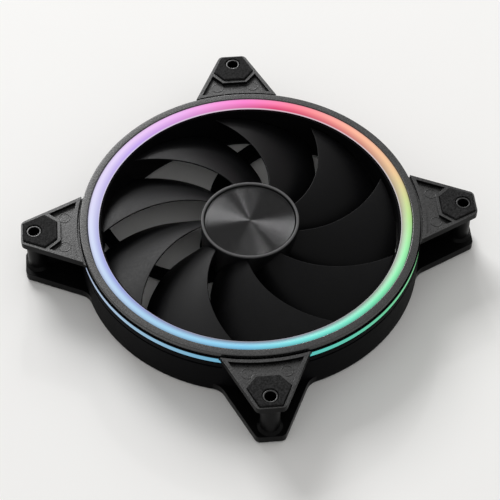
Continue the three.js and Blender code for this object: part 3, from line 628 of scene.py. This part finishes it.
def lit_diffuser(name, glow, slope, lip_painted_highlight, inner, outer):
    """Milky plastic lit from below: its colour runs round the fan's axis.

    It deepens from the inner radius to the outer one, over an inner slope that is partly painted
    shade and an outer rim that is a painted shadow of the bezel; a painted highlight whitens the
    inner lip.
    """
    finish = Finish(name, Specular_IOR_Level=0.3, Emission_Strength=glow)
    radius, turn = finish.polar()
    top, side = (
        finish.node(
            "ShaderNodeValToRGB",
            {"stops": [(angle / 360, linear(colour)) for angle, colour in colours]},
            {0: turn},
        )
        for colours in (TOP_COLOURS, SLOPE_COLOURS_WITH_SHADE)
    )
    across = ((radius - inner) / (outer - inner)).clamped()
    cloud = finish.noise(6.0)
    # Towards the inner edge the slope's colours take over: partly lit colour, partly painted shade
    inwards = ((1.2 - across * 1.9).clamped() * slope).clamped()
    # Painted shadow of the bezel: the outer rim darkens to a dull purple-grey
    rim = ((across * 5 - 4).clamped() * 0.3 + (cloud - 0.5) * 0.06).clamped()
    lit = finish.blend(rim, finish.blend(inwards, top, side), linear((0.42, 0.36, 0.46)))
    # Painted highlight: the inner lip's glow turns almost white
    lip = (1 - across * 14).clamped() * lip_painted_highlight
    finish.set(Emission_Color=finish.blend(lip, lit, linear((0.88, 0.86, 0.9))))
    unlit = finish.blend(cloud, linear((0.2, 0.2, 0.21)), linear((0.26, 0.26, 0.27)))
    finish.set(Base_Color=unlit)
    finish.set(Roughness=0.32 + (cloud - 0.5) * 0.1)
    finish.bump(finish.noise(0.5, detail=3.0), 0.01, 0.3)
    return finish.material


def spun_metal(name, dark, light, roughness, ring_mm=0.25, uneven=0.12):
    """Metal turned on a lathe, with fine rings round the fan's axis."""
    finish = Finish(name, Metallic=1.0)
    radius, _ = finish.polar()
    line = radius.math("SINE", radius * (math.tau / ring_mm)) * 0.5 + 0.5
    cloud = finish.noise(2.5, detail=3.0)
    tone = (line * 0.3 + cloud * 0.7).clamped()
    finish.set(Base_Color=finish.blend(tone, linear(dark), linear(light)))
    finish.set(Roughness=roughness + (cloud - 0.5) * uneven)
    finish.bump(line, 0.01, 0.4)
    return finish.material


def sintered(name, dark, light, roughness, pore_mm, metallic):
    """Pressed powder, with open pores."""
    finish = Finish(name, Metallic=metallic)
    pores = finish.cells(pore_mm)
    cloud = finish.noise(pore_mm * 6, detail=3.0)
    tone = (pores * 0.8 + cloud * 0.3).clamped()
    finish.set(Base_Color=finish.blend(tone, linear(dark), linear(light)))
    finish.set(Roughness=roughness + (pores - 0.5) * 0.2)
    finish.bump(pores, 0.03, 0.6)
    return finish.material


def laminated_steel(name):
    """A stack of thin punched sheets, with dark lines between them."""
    finish = Finish(name, Metallic=1.0)
    _, _, height = finish.axes()
    sheet = height.math("PINGPONG", height * 2.0, 0.5) * 2
    scratch = finish.noise(0.4, detail=4.0)
    tone = (sheet ** 0.5 * 0.8 + scratch * 0.25).clamped()
    finish.set(
        Base_Color=finish.blend(tone, linear((0.2, 0.2, 0.21)), linear((0.66, 0.67, 0.69)))
    )
    finish.set(Roughness=0.35 + (scratch - 0.5) * 0.2)
    finish.bump(sheet, 0.05, 0.6)
    return finish.material


def enamelled_copper(name):
    """Wound copper wire under a clear enamel."""
    finish = Finish(name, Metallic=1.0, Coat_Roughness=0.15)
    radius, _ = finish.polar()
    strand = radius.math("PINGPONG", radius * 3.3, 0.5) * 2
    cloud = finish.noise(1.2, detail=3.0)
    tone = (strand * 0.7 + cloud * 0.3).clamped()
    finish.set(
        Base_Color=finish.blend(tone, linear((0.34, 0.13, 0.05)), linear((0.85, 0.46, 0.22)))
    )
    finish.set(Roughness=0.3 + (cloud - 0.5) * 0.15, Coat_Weight=0.4 + cloud * 0.2)
    finish.bump(strand ** 0.5, 0.08, 0.8)
    return finish.material


def circuit_board(name, mask, copper):
    """Solder mask over faint copper tracks."""
    finish = Finish(name)
    tracks = finish.cells(2.2, feature="DISTANCE_TO_EDGE")
    line = 1 - (tracks * 9).clamped()
    weave = finish.noise(0.3, detail=2.0)
    finish.set(Base_Color=finish.blend(line * 0.7, linear(mask), linear(copper)))
    finish.set(Roughness=0.4 + (weave - 0.5) * 0.15)
    finish.bump(line + weave * 0.2, 0.03, 0.5)
    return finish.material


def printed_label(name):
    """A plain dark film with a thin pale ring near its edge and a faint sheen."""
    finish = Finish(name, Specular_IOR_Level=0.4)
    radius, _ = finish.polar()
    from_ring = radius - (LABEL.radius - 1.6)
    ring = 1 - (from_ring.math("ABSOLUTE", from_ring) * 5)
    cloud = finish.noise(3.0, detail=3.0)
    film = finish.blend(cloud, linear((0.1, 0.1, 0.105)), linear((0.15, 0.15, 0.155)))
    finish.set(Base_Color=finish.blend(ring.clamped(), film, linear((0.62, 0.62, 0.63))))
    finish.set(Roughness=0.36 + (cloud - 0.5) * 0.12)
    finish.bump(finish.noise(0.4, detail=3.0), 0.01, 0.4)
    return finish.material


FRAME_PLASTIC = grained_plastic(
    "black frame plastic",
    (0.02, 0.02, 0.023),
    (0.06, 0.06, 0.066),
    roughness=0.52,
    grain_mm=0.3,
    depth_mm=0.03,
    specular=0.03,
)
REAR_EAR_PLASTIC = grained_plastic(
    "black ear plastic",
    (0.015, 0.015, 0.017),
    (0.05, 0.05, 0.052),
    roughness=0.36,
    grain_mm=0.6,
    depth_mm=0.05,
    specular=0.08,
)
# The ears' front plates: the frame's black plastic, painted a lighter grey on its flat faces as
# painted light, over a real grain
EAR_PLASTIC = grained_plastic(
    "grained ear plastic",
    (0.02, 0.02, 0.022),
    (0.18, 0.18, 0.182),
    roughness=0.3,
    grain_mm=0.5,
    depth_mm=0.06,
    specular=0.7,
    contrast=1.6,
)
BEZEL_PLASTIC = grained_plastic(
    "grey bezel plastic",
    (0.04, 0.04, 0.042),
    (0.15, 0.15, 0.152),
    roughness=0.28,
    grain_mm=0.45,
    depth_mm=0.03,
    specular=0.85,
)
BLADE_PLASTIC = grained_plastic(
    "blade plastic",
    (0.02, 0.02, 0.024),
    (0.05, 0.05, 0.056),
    roughness=0.44,
    grain_mm=0.6,
    depth_mm=0.006,
    specular=0.13,
)
RING_DIFFUSER = lit_diffuser(
    "lit ring diffuser", glow=1.0, slope=0.95, lip_painted_highlight=0.7, inner=RING_INNER, outer=LIGHT.radius
)
# A strip has no slope or painted lip highlight, and its outer radius is set far out, so it has no
# painted rim shadow
STRIP_DIFFUSER = lit_diffuser(
    "lit strip diffuser", glow=0.73, slope=0.0, lip_painted_highlight=0.0, inner=RING_INNER, outer=80.0
)
PAD_RUBBER = rubber("pad rubber")
HUB_PLASTIC = hub_plastic("hub plastic")
SPUN_DISC = spun_metal(
    "spun disc", (0.18, 0.18, 0.182), (0.235, 0.235, 0.237), 0.14, DISC_RING, uneven=0.02
)
LABEL_FILM = printed_label("label film")


# ---- Frame: duct body --------------------------------------------------------------------------


def body_profiles(with_strip, bottom):
    """Cross-sections of the duct body: the light's channel over the rear pocket, and the bar
    over a strip's window."""
    flare = DUCT_FLARE if bottom == BODY_BOTTOM else 0.0
    wall_top = STRIP.bottom - WINDOW_GAP if with_strip else BODY_TOP
    side = [(BODY_RADIUS, bottom)]
    if with_strip:
        line_radius = BODY_RADIUS - SIDE_LINE_DEPTH
        side += [
            (BODY_RADIUS, SIDE_LINE[0]),
            (line_radius, SIDE_LINE[0]),
            (line_radius, SIDE_LINE[1]),
            (BODY_RADIUS, SIDE_LINE[1]),
        ]
    whole = [
        *side,
        (BODY_RADIUS, wall_top),
        (CHANNEL[1], wall_top),
        (CHANNEL[1], CHANNEL_FLOOR),
        (CHANNEL[0], CHANNEL_FLOOR),
        (CHANNEL[0], DUCT_WALL_TOP),
        (DUCT_RADIUS, DUCT_WALL_TOP),
        (DUCT_RADIUS, bottom + flare * 2),
        (DUCT_RADIUS + flare, bottom),
        (POCKET[0], bottom),
        (POCKET[0], POCKET_ROOF),
        (POCKET[1], POCKET_ROOF),
        (POCKET[1], bottom),
    ]
    if not with_strip:
        return [whole]
    bar_bottom = STRIP.top + WINDOW_GAP
    bar = [
        (CHANNEL[1], bar_bottom),
        (BODY_RADIUS, bar_bottom),
        (BODY_RADIUS, BODY_TOP),
        (CHANNEL[1], BODY_TOP),
    ]
    return [whole, bar]


def duct_body():
    """The body as sectors: four with a side strip, four behind the ears, one over the outlet."""
    window = STRIP_HALF_ANGLE + math.degrees(WINDOW_GAP / BODY_RADIUS)
    outlet = math.degrees(OUTLET_WIDTH / 2 / BODY_RADIUS)
    outlet_from, outlet_to = OUTLET_ANGLE - outlet, OUTLET_ANGLE + outlet
    edges = [side + turn for side in (0, 90, 180, 270) for turn in (-window, window)]
    edges = sorted(edges + [outlet_from, outlet_to])
    solids = []
    for start, end in zip(edges, edges[1:] + [edges[0] + 360]):
        middle = (start + end) / 2
        beside = abs((middle + 45) % 90 - 45)  # turn from the nearest side's middle
        bottom = OUTLET_TOP if outlet_from < middle < outlet_to else BODY_BOTTOM
        for profile in body_profiles(beside < window, bottom):
            solids.append(turned(profile, MOULD_ROUNDING, start, end - start))
    return solids


def pocket_ribs():
    """The ribs that divide the rear pocket."""
    half = POCKET_RIB / 2
    low = (POCKET[0] - 0.5, -half, BODY_BOTTOM)
    high = (POCKET[1] + 0.5, half, POCKET_ROOF + 0.5)
    return [turned_to(block(low, high), index * 360 / POCKET_COUNT) for index in range(POCKET_COUNT)]


# ---- Frame: corner ears ------------------------------------------------------------------------

EAR_SLOPE = math.tan(math.radians(EAR_TAPER))
SIDE_NORMAL = Vector((math.sin(math.radians(EAR_TAPER)), math.cos(math.radians(EAR_TAPER))))


def ear_half_width(reach, rim=0.0):
    return EAR_TIP_HALF_WIDTH + (EAR_TIP - reach) * EAR_SLOPE - rim / SIDE_NORMAL.y


def mirrored_path(half):
    return half + [(x, -y) for x, y in reversed(half)]


def arc(centre, radius, start, end, steps):
    return [
        (
            centre[0] + radius * math.cos(mix(start, end, step / steps)),
            centre[1] + radius * math.sin(mix(start, end, step / steps)),
        )
        for step in range(steps + 1)
    ]


def root_fillet(fillet):
    """The arc that blends an ear's side edge into the body."""
    start = Vector((EAR_TIP, EAR_TIP_HALF_WIDTH)) + SIDE_NORMAL * fillet
    along = Vector((-SIDE_NORMAL.y, SIDE_NORMAL.x))
    middle = start.dot(along)
    run = -middle - math.sqrt(middle**2 - start.length_squared + (BODY_RADIUS + fillet) ** 2)
    centre = start + along * run
    towards_body = math.atan2(-centre.y, -centre.x)
    towards_side = math.atan2(-SIDE_NORMAL.y, -SIDE_NORMAL.x)
    return arc(centre, fillet, towards_body, towards_side, FILLET_STEPS)


def tip_corner():
    """The arc that rounds one corner of an ear's tip."""
    lean = math.radians(90 - EAR_TAPER)
    back = EAR_TIP_ROUNDING * math.tan(lean / 2)
    centre = (EAR_TIP - EAR_TIP_ROUNDING, EAR_TIP_HALF_WIDTH - back)
    return arc(centre, EAR_TIP_ROUNDING, lean, 0, TIP_STEPS)


def ear_outline(fillet):
    inside = (CHANNEL[1], ear_half_width(BODY_RADIUS))
    return mirrored_path([inside, *root_fillet(fillet), *tip_corner()])


def pad_outline(margin):
    """The six-sided pad, grown by a margin."""
    widest = HOLE_REACH - PAD_WIDEST
    outer = EAR_TIP - EAR_TIP_RIM
    rim = EAR_RIM - margin
    return mirrored_path(
        [
            (HOLE_REACH - PAD_INNER[0] - margin, PAD_INNER[1] + margin / 2),
            (widest - margin / 2, ear_half_width(widest, rim)),
            (outer + margin, ear_half_width(outer, rim)),
        ]
    )


def pocket_cutters():
    """The hollow between the body and the pad on a front plate, and the pad's own seat."""
    floor = FRONT_PLATE[1] - POCKET_DEPTH
    above = FRONT_PLATE[1] + CUT_MARGIN
    widest = HOLE_REACH - PAD_WIDEST
    reach = CHANNEL[1]
    outline = mirrored_path(
        [(reach, ear_half_width(reach, EAR_RIM)), (widest, ear_half_width(widest, EAR_RIM))]
    )
    pocket = cut(
        raised(outline, floor, above),
        cylinder(0, 0, POCKET_START, floor - CUT_MARGIN, above + CUT_MARGIN, BODY_SIDES),
        raised(pad_outline(FIT_GAP + PAD_RIB), floor - CUT_MARGIN, above + CUT_MARGIN),
    )
    recess = raised(pad_outline(FIT_GAP), FRONT_PLATE[1] - RECESS_DEPTH, above)
    return pocket, recess


def ear_plate(fillet, groove):
    """A plate of an ear, front up, with its pocket, pad seat and hole.

    A front plate has a groove beside the bezel. One without it has a rear plate's thickness.
    """
    bottom, top = FRONT_PLATE
    if not groove:
        bottom = PAD_TOP - REAR_PLATE[1]
    above = top + CUT_MARGIN
    hole = cylinder(HOLE_REACH, 0, (HOLE_RADIUS + TUBE_RADIUS) / 2, bottom - CUT_MARGIN, above)
    cutters = [*pocket_cutters(), hole]
    if groove:
        cutters.append(cylinder(0, 0, GROOVE_RADIUS, BODY_TOP, above, BODY_SIDES))
    return cut(raised(ear_outline(fillet), bottom, top), *cutters)


def at_hole(solid):
    return moved(solid, Matrix.Translation((HOLE_REACH, 0, 0)))


def tube_end():
    """The thin tube round the screw hole that stands up through the pad."""
    bottom, top = FRONT_PLATE[0], PAD_TOP - TUBE_SINK
    profile = [(HOLE_RADIUS, bottom), (TUBE_RADIUS, bottom), (TUBE_RADIUS, top), (HOLE_RADIUS, top)]
    return at_hole(turned(profile, TUBE_ROUNDING, step=HOLE_STEP))


def screw_column():
    """The column from plate to plate, and the tube that stands down through the rear pad."""
    low, high = REAR_PLATE[1] - OVERLAP, FRONT_PLATE[0] + OVERLAP
    profile = [
        (HOLE_RADIUS, TUBE_SINK),
        (TUBE_RADIUS, TUBE_SINK),
        (TUBE_RADIUS, low),
        (COLUMN_RADIUS, low),
        (COLUMN_RADIUS, high),
        (HOLE_RADIUS, high),
    ]
    return at_hole(turned(profile, MOULD_ROUNDING, step=HOLE_STEP))


def column_foot(radius, bottom, top):
    """A small cove where the column meets a plate."""
    inner = COLUMN_RADIUS - 0.3
    return at_hole(turned([(inner, bottom), (radius, bottom), (inner, top)], 0, step=HOLE_STEP))


def pin_marks():
    """The faint rings that ejector pins leave in the pocket."""
    floor = FRONT_PLATE[1] - POCKET_DEPTH
    inner, bottom, top = PIN_MARK_RADIUS - PIN_MARK_WIDTH, floor - 0.2, floor + PIN_MARK_HEIGHT
    profile = [(inner, bottom), (PIN_MARK_RADIUS, bottom), (PIN_MARK_RADIUS, top), (inner, top)]
    return [
        moved(
            turned(profile, 0.08, step=7.5),
            Matrix.Translation((PIN_MARK[0], side * PIN_MARK[1], 0)),
        )
        for side in (-1, 1)
    ]


def ear_front(angle):
    """An ear's front plate with its pin marks."""
    front = softened(ear_plate(FRONT_FILLET, True), PLATE_ROUNDING)
    return [turned_to(solid, angle) for solid in (front, tube_end(), *pin_marks())]


def ear_rear(angle):
    """An ear's rear plate, screw column and web."""
    rear = mirrored(ear_plate(REAR_FILLET, False))
    if abs(angle - OUTLET_ANGLE) < 45:
        half = OUTLET_WIDTH / 2
        outlet = block((CHANNEL[0], -half, -CUT_MARGIN), (EAR_TIP, half, OUTLET_TOP))
        rear = cut(rear, turned_to(outlet, OUTLET_ANGLE - angle))
    rear = softened(rear, PLATE_ROUNDING)
    half = WEB_THICKNESS / 2
    low = (CHANNEL[1] + 1, -half, REAR_PLATE[1] - OVERLAP)
    high = (HOLE_REACH - HOLE_RADIUS - OVERLAP, half, FRONT_PLATE[0] + OVERLAP)
    web = block(low, high)
    foot_bottom, foot_top = REAR_PLATE[1] - 0.1, REAR_PLATE[1] + FOOT_RISE
    foot = column_foot(COLUMN_RADIUS + FOOT_SPREAD, foot_bottom, foot_top)
    return [turned_to(solid, angle) for solid in (rear, screw_column(), web, foot)]


# ---- Frame: struts and motor base --------------------------------------------------------------


def strut(index, sides, bottom, top):
    """A curved bar from the motor base to the duct, between two offsets from its middle line."""
    rim_angle = STRUT_RIM_ANGLE + index * 90
    inner, outer = BASE_RADIUS - STRUT_ENDS[0], DUCT_RADIUS + STRUT_ENDS[1]
    turn_rate = -math.radians(STRUT_SWEEP) / (DUCT_RADIUS - BASE_RADIUS)

    def law(out, across, up):
        radius = mix(inner, outer, out)
        angle = math.radians(rim_angle) + turn_rate * (radius - DUCT_RADIUS)
        normal = angle + math.atan(radius * turn_rate) + math.pi / 2
        offset = mix(sides[0], sides[1], across)
        x = radius * math.cos(angle) + offset * math.cos(normal)
        y = radius * math.sin(angle) + offset * math.sin(normal)
        return x, y, mix(bottom, top, up)

    return bent(STRUT_GRID, law)


def on_strut_top(edge):
    return all(end.co.z > STRUT_TOP - 0.01 for end in edge.verts)


def strut_bar(index, width, bottom):
    """A strut's bar, with its top edges rounded."""
    bar = strut(index, (-width / 2, width / 2), bottom, STRUT_TOP)
    return softened(bar, STRUT_ROUNDING, 4, on_strut_top)


def struts():
    """Four struts. One is wider and has a channel for the leads under it, between two walls."""
    solids = []
    for index in range(4):
        if index == CABLE_STRUT:
            half, channel = CABLE_STRUT_WIDTH / 2, CABLE_WIDTH / 2
            wall_top = OUTLET_TOP + 0.3
            solids.append(strut_bar(index, CABLE_STRUT_WIDTH, OUTLET_TOP))
            solids.append(strut(index, (-half, -channel), BODY_BOTTOM, wall_top))
            solids.append(strut(index, (channel, half), BODY_BOTTOM, wall_top))
        else:
            solids.append(strut_bar(index, STRUT_WIDTH, BODY_BOTTOM))
    return solids


def motor_base():
    """The dish with the bearing's boss in its middle, and the posts under the motor's board."""
    dish = turned(
        [
            (BASE_BOSS[0], BASE_FLOOR[0]),
            (BASE_RIM[0], BASE_FLOOR[0]),
            (BASE_RIM[0], BODY_BOTTOM),
            (BASE_RADIUS, BODY_BOTTOM),
            (BASE_RADIUS, BASE_TOP),
            (BASE_RIM[1], BASE_TOP),
            (BASE_RIM[1], BASE_FLOOR[1]),
            (BASE_BOSS[1], BASE_FLOOR[1]),
            (BASE_BOSS[1], BASE_TOP),
            (BASE_BOSS[0], BASE_TOP),
        ],
        BASE_ROUNDING,
        step=TURNING_STEP,
    )
    posts = [
        cylinder(*polar(POST_REACH, turn), POST_RADIUS, BASE_FLOOR[1] - OVERLAP, BASE_TOP, 24)
        for turn in (0, 120, 240)
    ]
    return [dish, *posts]


# ---- Trim, lighting and pads -------------------------------------------------------------------


def bezel():
    inner = BEZEL.radius - BEZEL_WIDTH
    return turned(
        [
            (inner, BEZEL.bottom),
            (BEZEL.radius, BEZEL.bottom),
            (BEZEL.radius, BEZEL.top),
            (inner, BEZEL.top),
        ],
        BEZEL_ROUNDING,
    )


def light_ring():
    """A milky ring, domed from its outer edge down to its inner lip, with a foot in the channel."""
    edge = LIGHT.top - RING_EDGE_DROP
    flange = LIGHT.top - RING_FLANGE_DROP
    shares = [step / RING_DOME_STEPS for step in range(RING_DOME_STEPS + 1)]
    dome = [
        (mix(LIGHT.radius, RING_INNER, share), mix(edge, LIGHT.top, 1 - share**2))
        for share in shares
    ]
    return turned(
        [
            (RING_INNER, edge - RING_LIP),
            (CHANNEL[0] + FIT_GAP, edge - RING_LIP),
            (CHANNEL[0] + FIT_GAP, LIGHT.bottom),
            (CHANNEL[1] - FIT_GAP, LIGHT.bottom),
            (CHANNEL[1] - FIT_GAP, flange),
            (LIGHT.radius, flange),
            *dome,
        ],
        RING_ROUNDING,
    )


def side_strip(angle):
    profile = [
        (CHANNEL[1] + FIT_GAP, STRIP.bottom),
        (STRIP.radius, STRIP.bottom),
        (STRIP.radius, STRIP.top),
        (CHANNEL[1] + FIT_GAP, STRIP.top),
    ]
    return turned(profile, STRIP_ROUNDING, angle - STRIP_HALF_ANGLE, STRIP_HALF_ANGLE * 2)


def front_pad(angle):
    bottom, top = PAD_BOTTOM - CUT_MARGIN, PAD_TOP + CUT_MARGIN
    hole = cylinder(HOLE_REACH, 0, TUBE_RADIUS + FIT_GAP, bottom, top)
    pad = cut(raised(pad_outline(0), PAD_BOTTOM, PAD_TOP), hole)
    return turned_to(softened(pad, PAD_ROUNDING, 3), angle)


# ---- Rotor -------------------------------------------------------------------------------------


def blade(index):
    """One blade, bowed across its chord, which sweeps round and flattens towards its tip."""
    start = BLADE_START + index * 360 / BLADE_COUNT
    low, high = BLADE_HEIGHT
    inner = HUB_RADIUS - OVERLAP

    def law(out, across, side):
        chord = math.sin((across * 2 - 1) * math.pi / 2)
        radius = mix(inner, BLADE_TIP_RADIUS, out)
        half_span = math.radians(mix(*BLADE_SPAN, out)) / 2
        rise = high - low - BLADE_FLATTEN * out
        bulge = 1 - chord**2
        normal = Vector((-rise / 2, half_span * radius)).normalized()
        offset = (side - 0.5) * mix(*BLADE_THICKNESS, bulge) + bulge * BLADE_CAMBER
        angle = math.radians(start + BLADE_LEAN * out) + half_span * chord
        angle += offset * normal.x / radius
        height = (low + high) / 2 + rise / 2 * chord + offset * normal.y
        return radius * math.cos(angle), radius * math.sin(angle), height

    return softened(bent(BLADE_GRID, law), BLADE_EDGE)


def hub():
    """A cup that opens to the rear, with a seat for the disc and a boss for the shaft."""
    lip = HUB_RADIUS - HUB_LIP
    return turned(
        [
            (0, HUB_CEILING),
            (SHAFT_BOSS[0], HUB_CEILING),
            (SHAFT_BOSS[0], SHAFT_BOSS_BOTTOM),
            (SHAFT_BOSS[1], SHAFT_BOSS_BOTTOM),
            (SHAFT_BOSS[1], HUB_CEILING),
            (HUB_BORE, HUB_CEILING),
            (HUB_BORE, ROTOR.bottom),
            (HUB_RADIUS, ROTOR.bottom),
            (HUB_RADIUS, HUB_TOP),
            (lip, HUB_TOP),
            (lip, HUB_SEAT),
            (0, HUB_SEAT),
        ],
        HUB_ROUNDING,
        step=TURNING_STEP,
    )


def hub_disc():
    """A thin metal disc turned with fine rings, which fan the light out in rays."""
    start, middle = DISC.radius - DISC_RINGS[0], DISC_RINGS[1]
    face = []
    for step in range(round((start - middle) / DISC_RING * DISC_RING_FACETS)):
        wave = math.cos(step * math.tau / DISC_RING_FACETS) - 1
        height = DISC.top + DISC_RING_DEPTH * wave / 2
        face.append((start - step * DISC_RING / DISC_RING_FACETS, height))
    inwards, down = DISC_CHAMFER
    edge = [
        (0, DISC.bottom),
        (DISC.radius, DISC.bottom),
        (DISC.radius, DISC.top - down),
        (DISC.radius - inwards, DISC.top),
    ]
    return turned([*edge, *face, (0, DISC.top)], 0, step=DISC_STEP)


def rear_label():
    low, high = LABEL.bottom, LABEL.top
    profile = [(0, low), (LABEL.radius, low), (LABEL.radius, high), (0, high)]
    return turned(profile, LABEL_ROUNDING, step=TURNING_STEP)


# ---- Pieces ------------------------------------------------------------------------------------

piece(
    "frame_duct",
    duct_body() + pocket_ribs(),
    FRAME_PLASTIC,
    "housing",
    ["fan_frame"],
)
piece(
    "frame_ear_fronts",
    [solid for angle in EAR_ANGLES for solid in ear_front(angle)],
    EAR_PLASTIC,
    "housing",
    ["fan_frame"],
    sharp=30,
    # Painted light on the flat faces, painted shade on the upright ones
    shaded_side_finish=REAR_EAR_PLASTIC,
)
piece(
    "frame_ear_columns",
    [solid for angle in EAR_ANGLES for solid in ear_rear(angle)],
    REAR_EAR_PLASTIC,
    "housing",
    ["fan_frame"],
    sharp=30,
)
piece(
    "frame_motor_base",
    struts() + motor_base(),
    FRAME_PLASTIC,
    "housing",
    ["fan_frame"],
)
piece("bezel", [bezel()], BEZEL_PLASTIC, "housing", ["front_bezel"])
piece("ring_diffuser", [light_ring()], RING_DIFFUSER, "housing", ["light_ring"])
for number, angle in enumerate((0, 90, 180, 270), 1):
    piece(
        f"strip_diffuser_{number}",
        [side_strip(angle)],
        STRIP_DIFFUSER,
        "housing",
        [f"side_light_strip_{number}"],
    )
for number, angle in enumerate(EAR_ANGLES, 1):
    for place, shape in (("front", lambda pad: pad), ("rear", mirrored)):
        piece(
            f"{place}_rubber_pad_{number}",
            [shape(front_pad(angle))],
            PAD_RUBBER,
            "housing",
            [f"{place}_pad_{number}"],
        )
piece("impeller_hub", [hub()], HUB_PLASTIC, "rotor", ["impeller"])
piece(
    "impeller_blades",
    [blade(index) for index in range(BLADE_COUNT)],
    BLADE_PLASTIC,
    "rotor",
    ["impeller"],
)
piece("turned_disc", [hub_disc()], SPUN_DISC, "rotor", ["hub_disc"])
piece("base_label", [rear_label()], LABEL_FILM, "housing", ["rear_label"])

# Inner nodes keep the CAD's shape and get a finish of their own
CARRIED_OVER = {
    "light_board": circuit_board("white light board", (0.82, 0.82, 0.8), (0.7, 0.69, 0.62)),
    "bearing_housing": spun_metal("turned brass", (0.62, 0.47, 0.2), (0.82, 0.66, 0.34), 0.28),
    "bearing_sleeve": sintered(
        "sintered bronze", (0.34, 0.22, 0.1), (0.62, 0.43, 0.22), 0.5, 0.15, 1.0
    ),
    "bearing_cap": grained_plastic(
        "natural nylon", (0.78, 0.76, 0.7), (0.88, 0.86, 0.8), 0.5, 0.5, 0.02
    ),
    "thrust_disc": grained_plastic(
        "slip film", (0.3, 0.22, 0.1), (0.4, 0.3, 0.14), 0.35, 0.4, 0.01
    ),
    "oil_seal": grained_plastic(
        "seal plastic", (0.42, 0.16, 0.09), (0.55, 0.24, 0.14), 0.6, 0.3, 0.02
    ),
    "stator_core": laminated_steel("laminated core steel"),
    "upper_bobbin": grained_plastic(
        "bobbin nylon", (0.8, 0.78, 0.72), (0.9, 0.88, 0.83), 0.5, 0.5, 0.02
    ),
    "motor_board": circuit_board("green motor board", (0.07, 0.27, 0.15), (0.16, 0.42, 0.22)),
    "hall_sensor": grained_plastic(
        "black resin", (0.06, 0.06, 0.065), (0.1, 0.1, 0.105), 0.5, 0.2, 0.02
    ),
    "rotor_yoke": spun_metal(
        "zinc-plated yoke steel", (0.5, 0.51, 0.52), (0.68, 0.69, 0.7), 0.35, 0.4
    ),
    "rotor_magnet": sintered("bonded ferrite", (0.1, 0.1, 0.105), (0.2, 0.19, 0.195), 0.7, 0.2, 0.2),
    "shaft": spun_metal("ground shaft steel", (0.62, 0.63, 0.64), (0.74, 0.75, 0.76), 0.18, 0.1),
    "shaft_clip": spun_metal("spring steel", (0.3, 0.32, 0.36), (0.45, 0.47, 0.5), 0.3, 0.3),
}
CARRIED_OVER["lower_bobbin"] = CARRIED_OVER["upper_bobbin"]
COPPER = enamelled_copper("enamelled copper")
for number in range(1, 5):
    CARRIED_OVER[f"stator_coil_{number}"] = COPPER
for node, finish in CARRIED_OVER.items():
    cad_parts[node].data.materials.clear()
    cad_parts[node].data.materials.append(finish)


# ---- Floor, light and camera -------------------------------------------------------------------


def floor():
    finish = Finish("pale floor", Specular_IOR_Level=0.1)
    cloud = finish.noise(60.0)
    first, second = linear((0.975, 0.973, 0.968)), linear((0.98, 0.978, 0.973))
    finish.set(Base_Color=finish.blend(cloud, first, second))
    finish.set(Roughness=0.9 + (cloud - 0.5) * 0.05)
    bm = bmesh.new()
    bmesh.ops.create_grid(bm, x_segments=1, y_segments=1, size=FLOOR_HALF_WIDTH)
    made = loose_object(bm, "floor")
    made.data.materials.append(finish.material)


def aimed(made, place, target):
    """Puts a light or a camera at a place, looking at a target."""
    made.location = place
    made.rotation_euler = (Vector(target) - Vector(place)).to_track_quat("-Z", "Y").to_euler()
    bpy.context.scene.collection.objects.link(made)


def soft_light(name, place, size, power):
    light = bpy.data.lights.new(name, "AREA")
    light.shape = "SQUARE"
    light.size = size
    light.energy = power
    aimed(bpy.data.objects.new(name, light), place, (0, 0, 0))


def studio():
    world = bpy.data.worlds.new("studio")
    world.use_nodes = True
    sky = world.node_tree.nodes["Background"]
    sky.inputs[0].default_value = (1.0, 0.995, 0.985, 1.0)
    sky.inputs[1].default_value = SKY_STRENGTH
    bpy.context.scene.world = world
    for lamp in LAMPS:
        soft_light(*lamp)
    bpy.context.scene.view_settings.view_transform = "Standard"


def camera():
    lens = bpy.data.cameras.new("camera")
    lens.lens = FOCAL_LENGTH
    lens.sensor_width = SENSOR_WIDTH
    made = bpy.data.objects.new("camera", lens)
    aimed(made, CAMERA_PLACE, CAMERA_TARGET)
    bpy.context.scene.camera = made


floor()
studio()
camera()
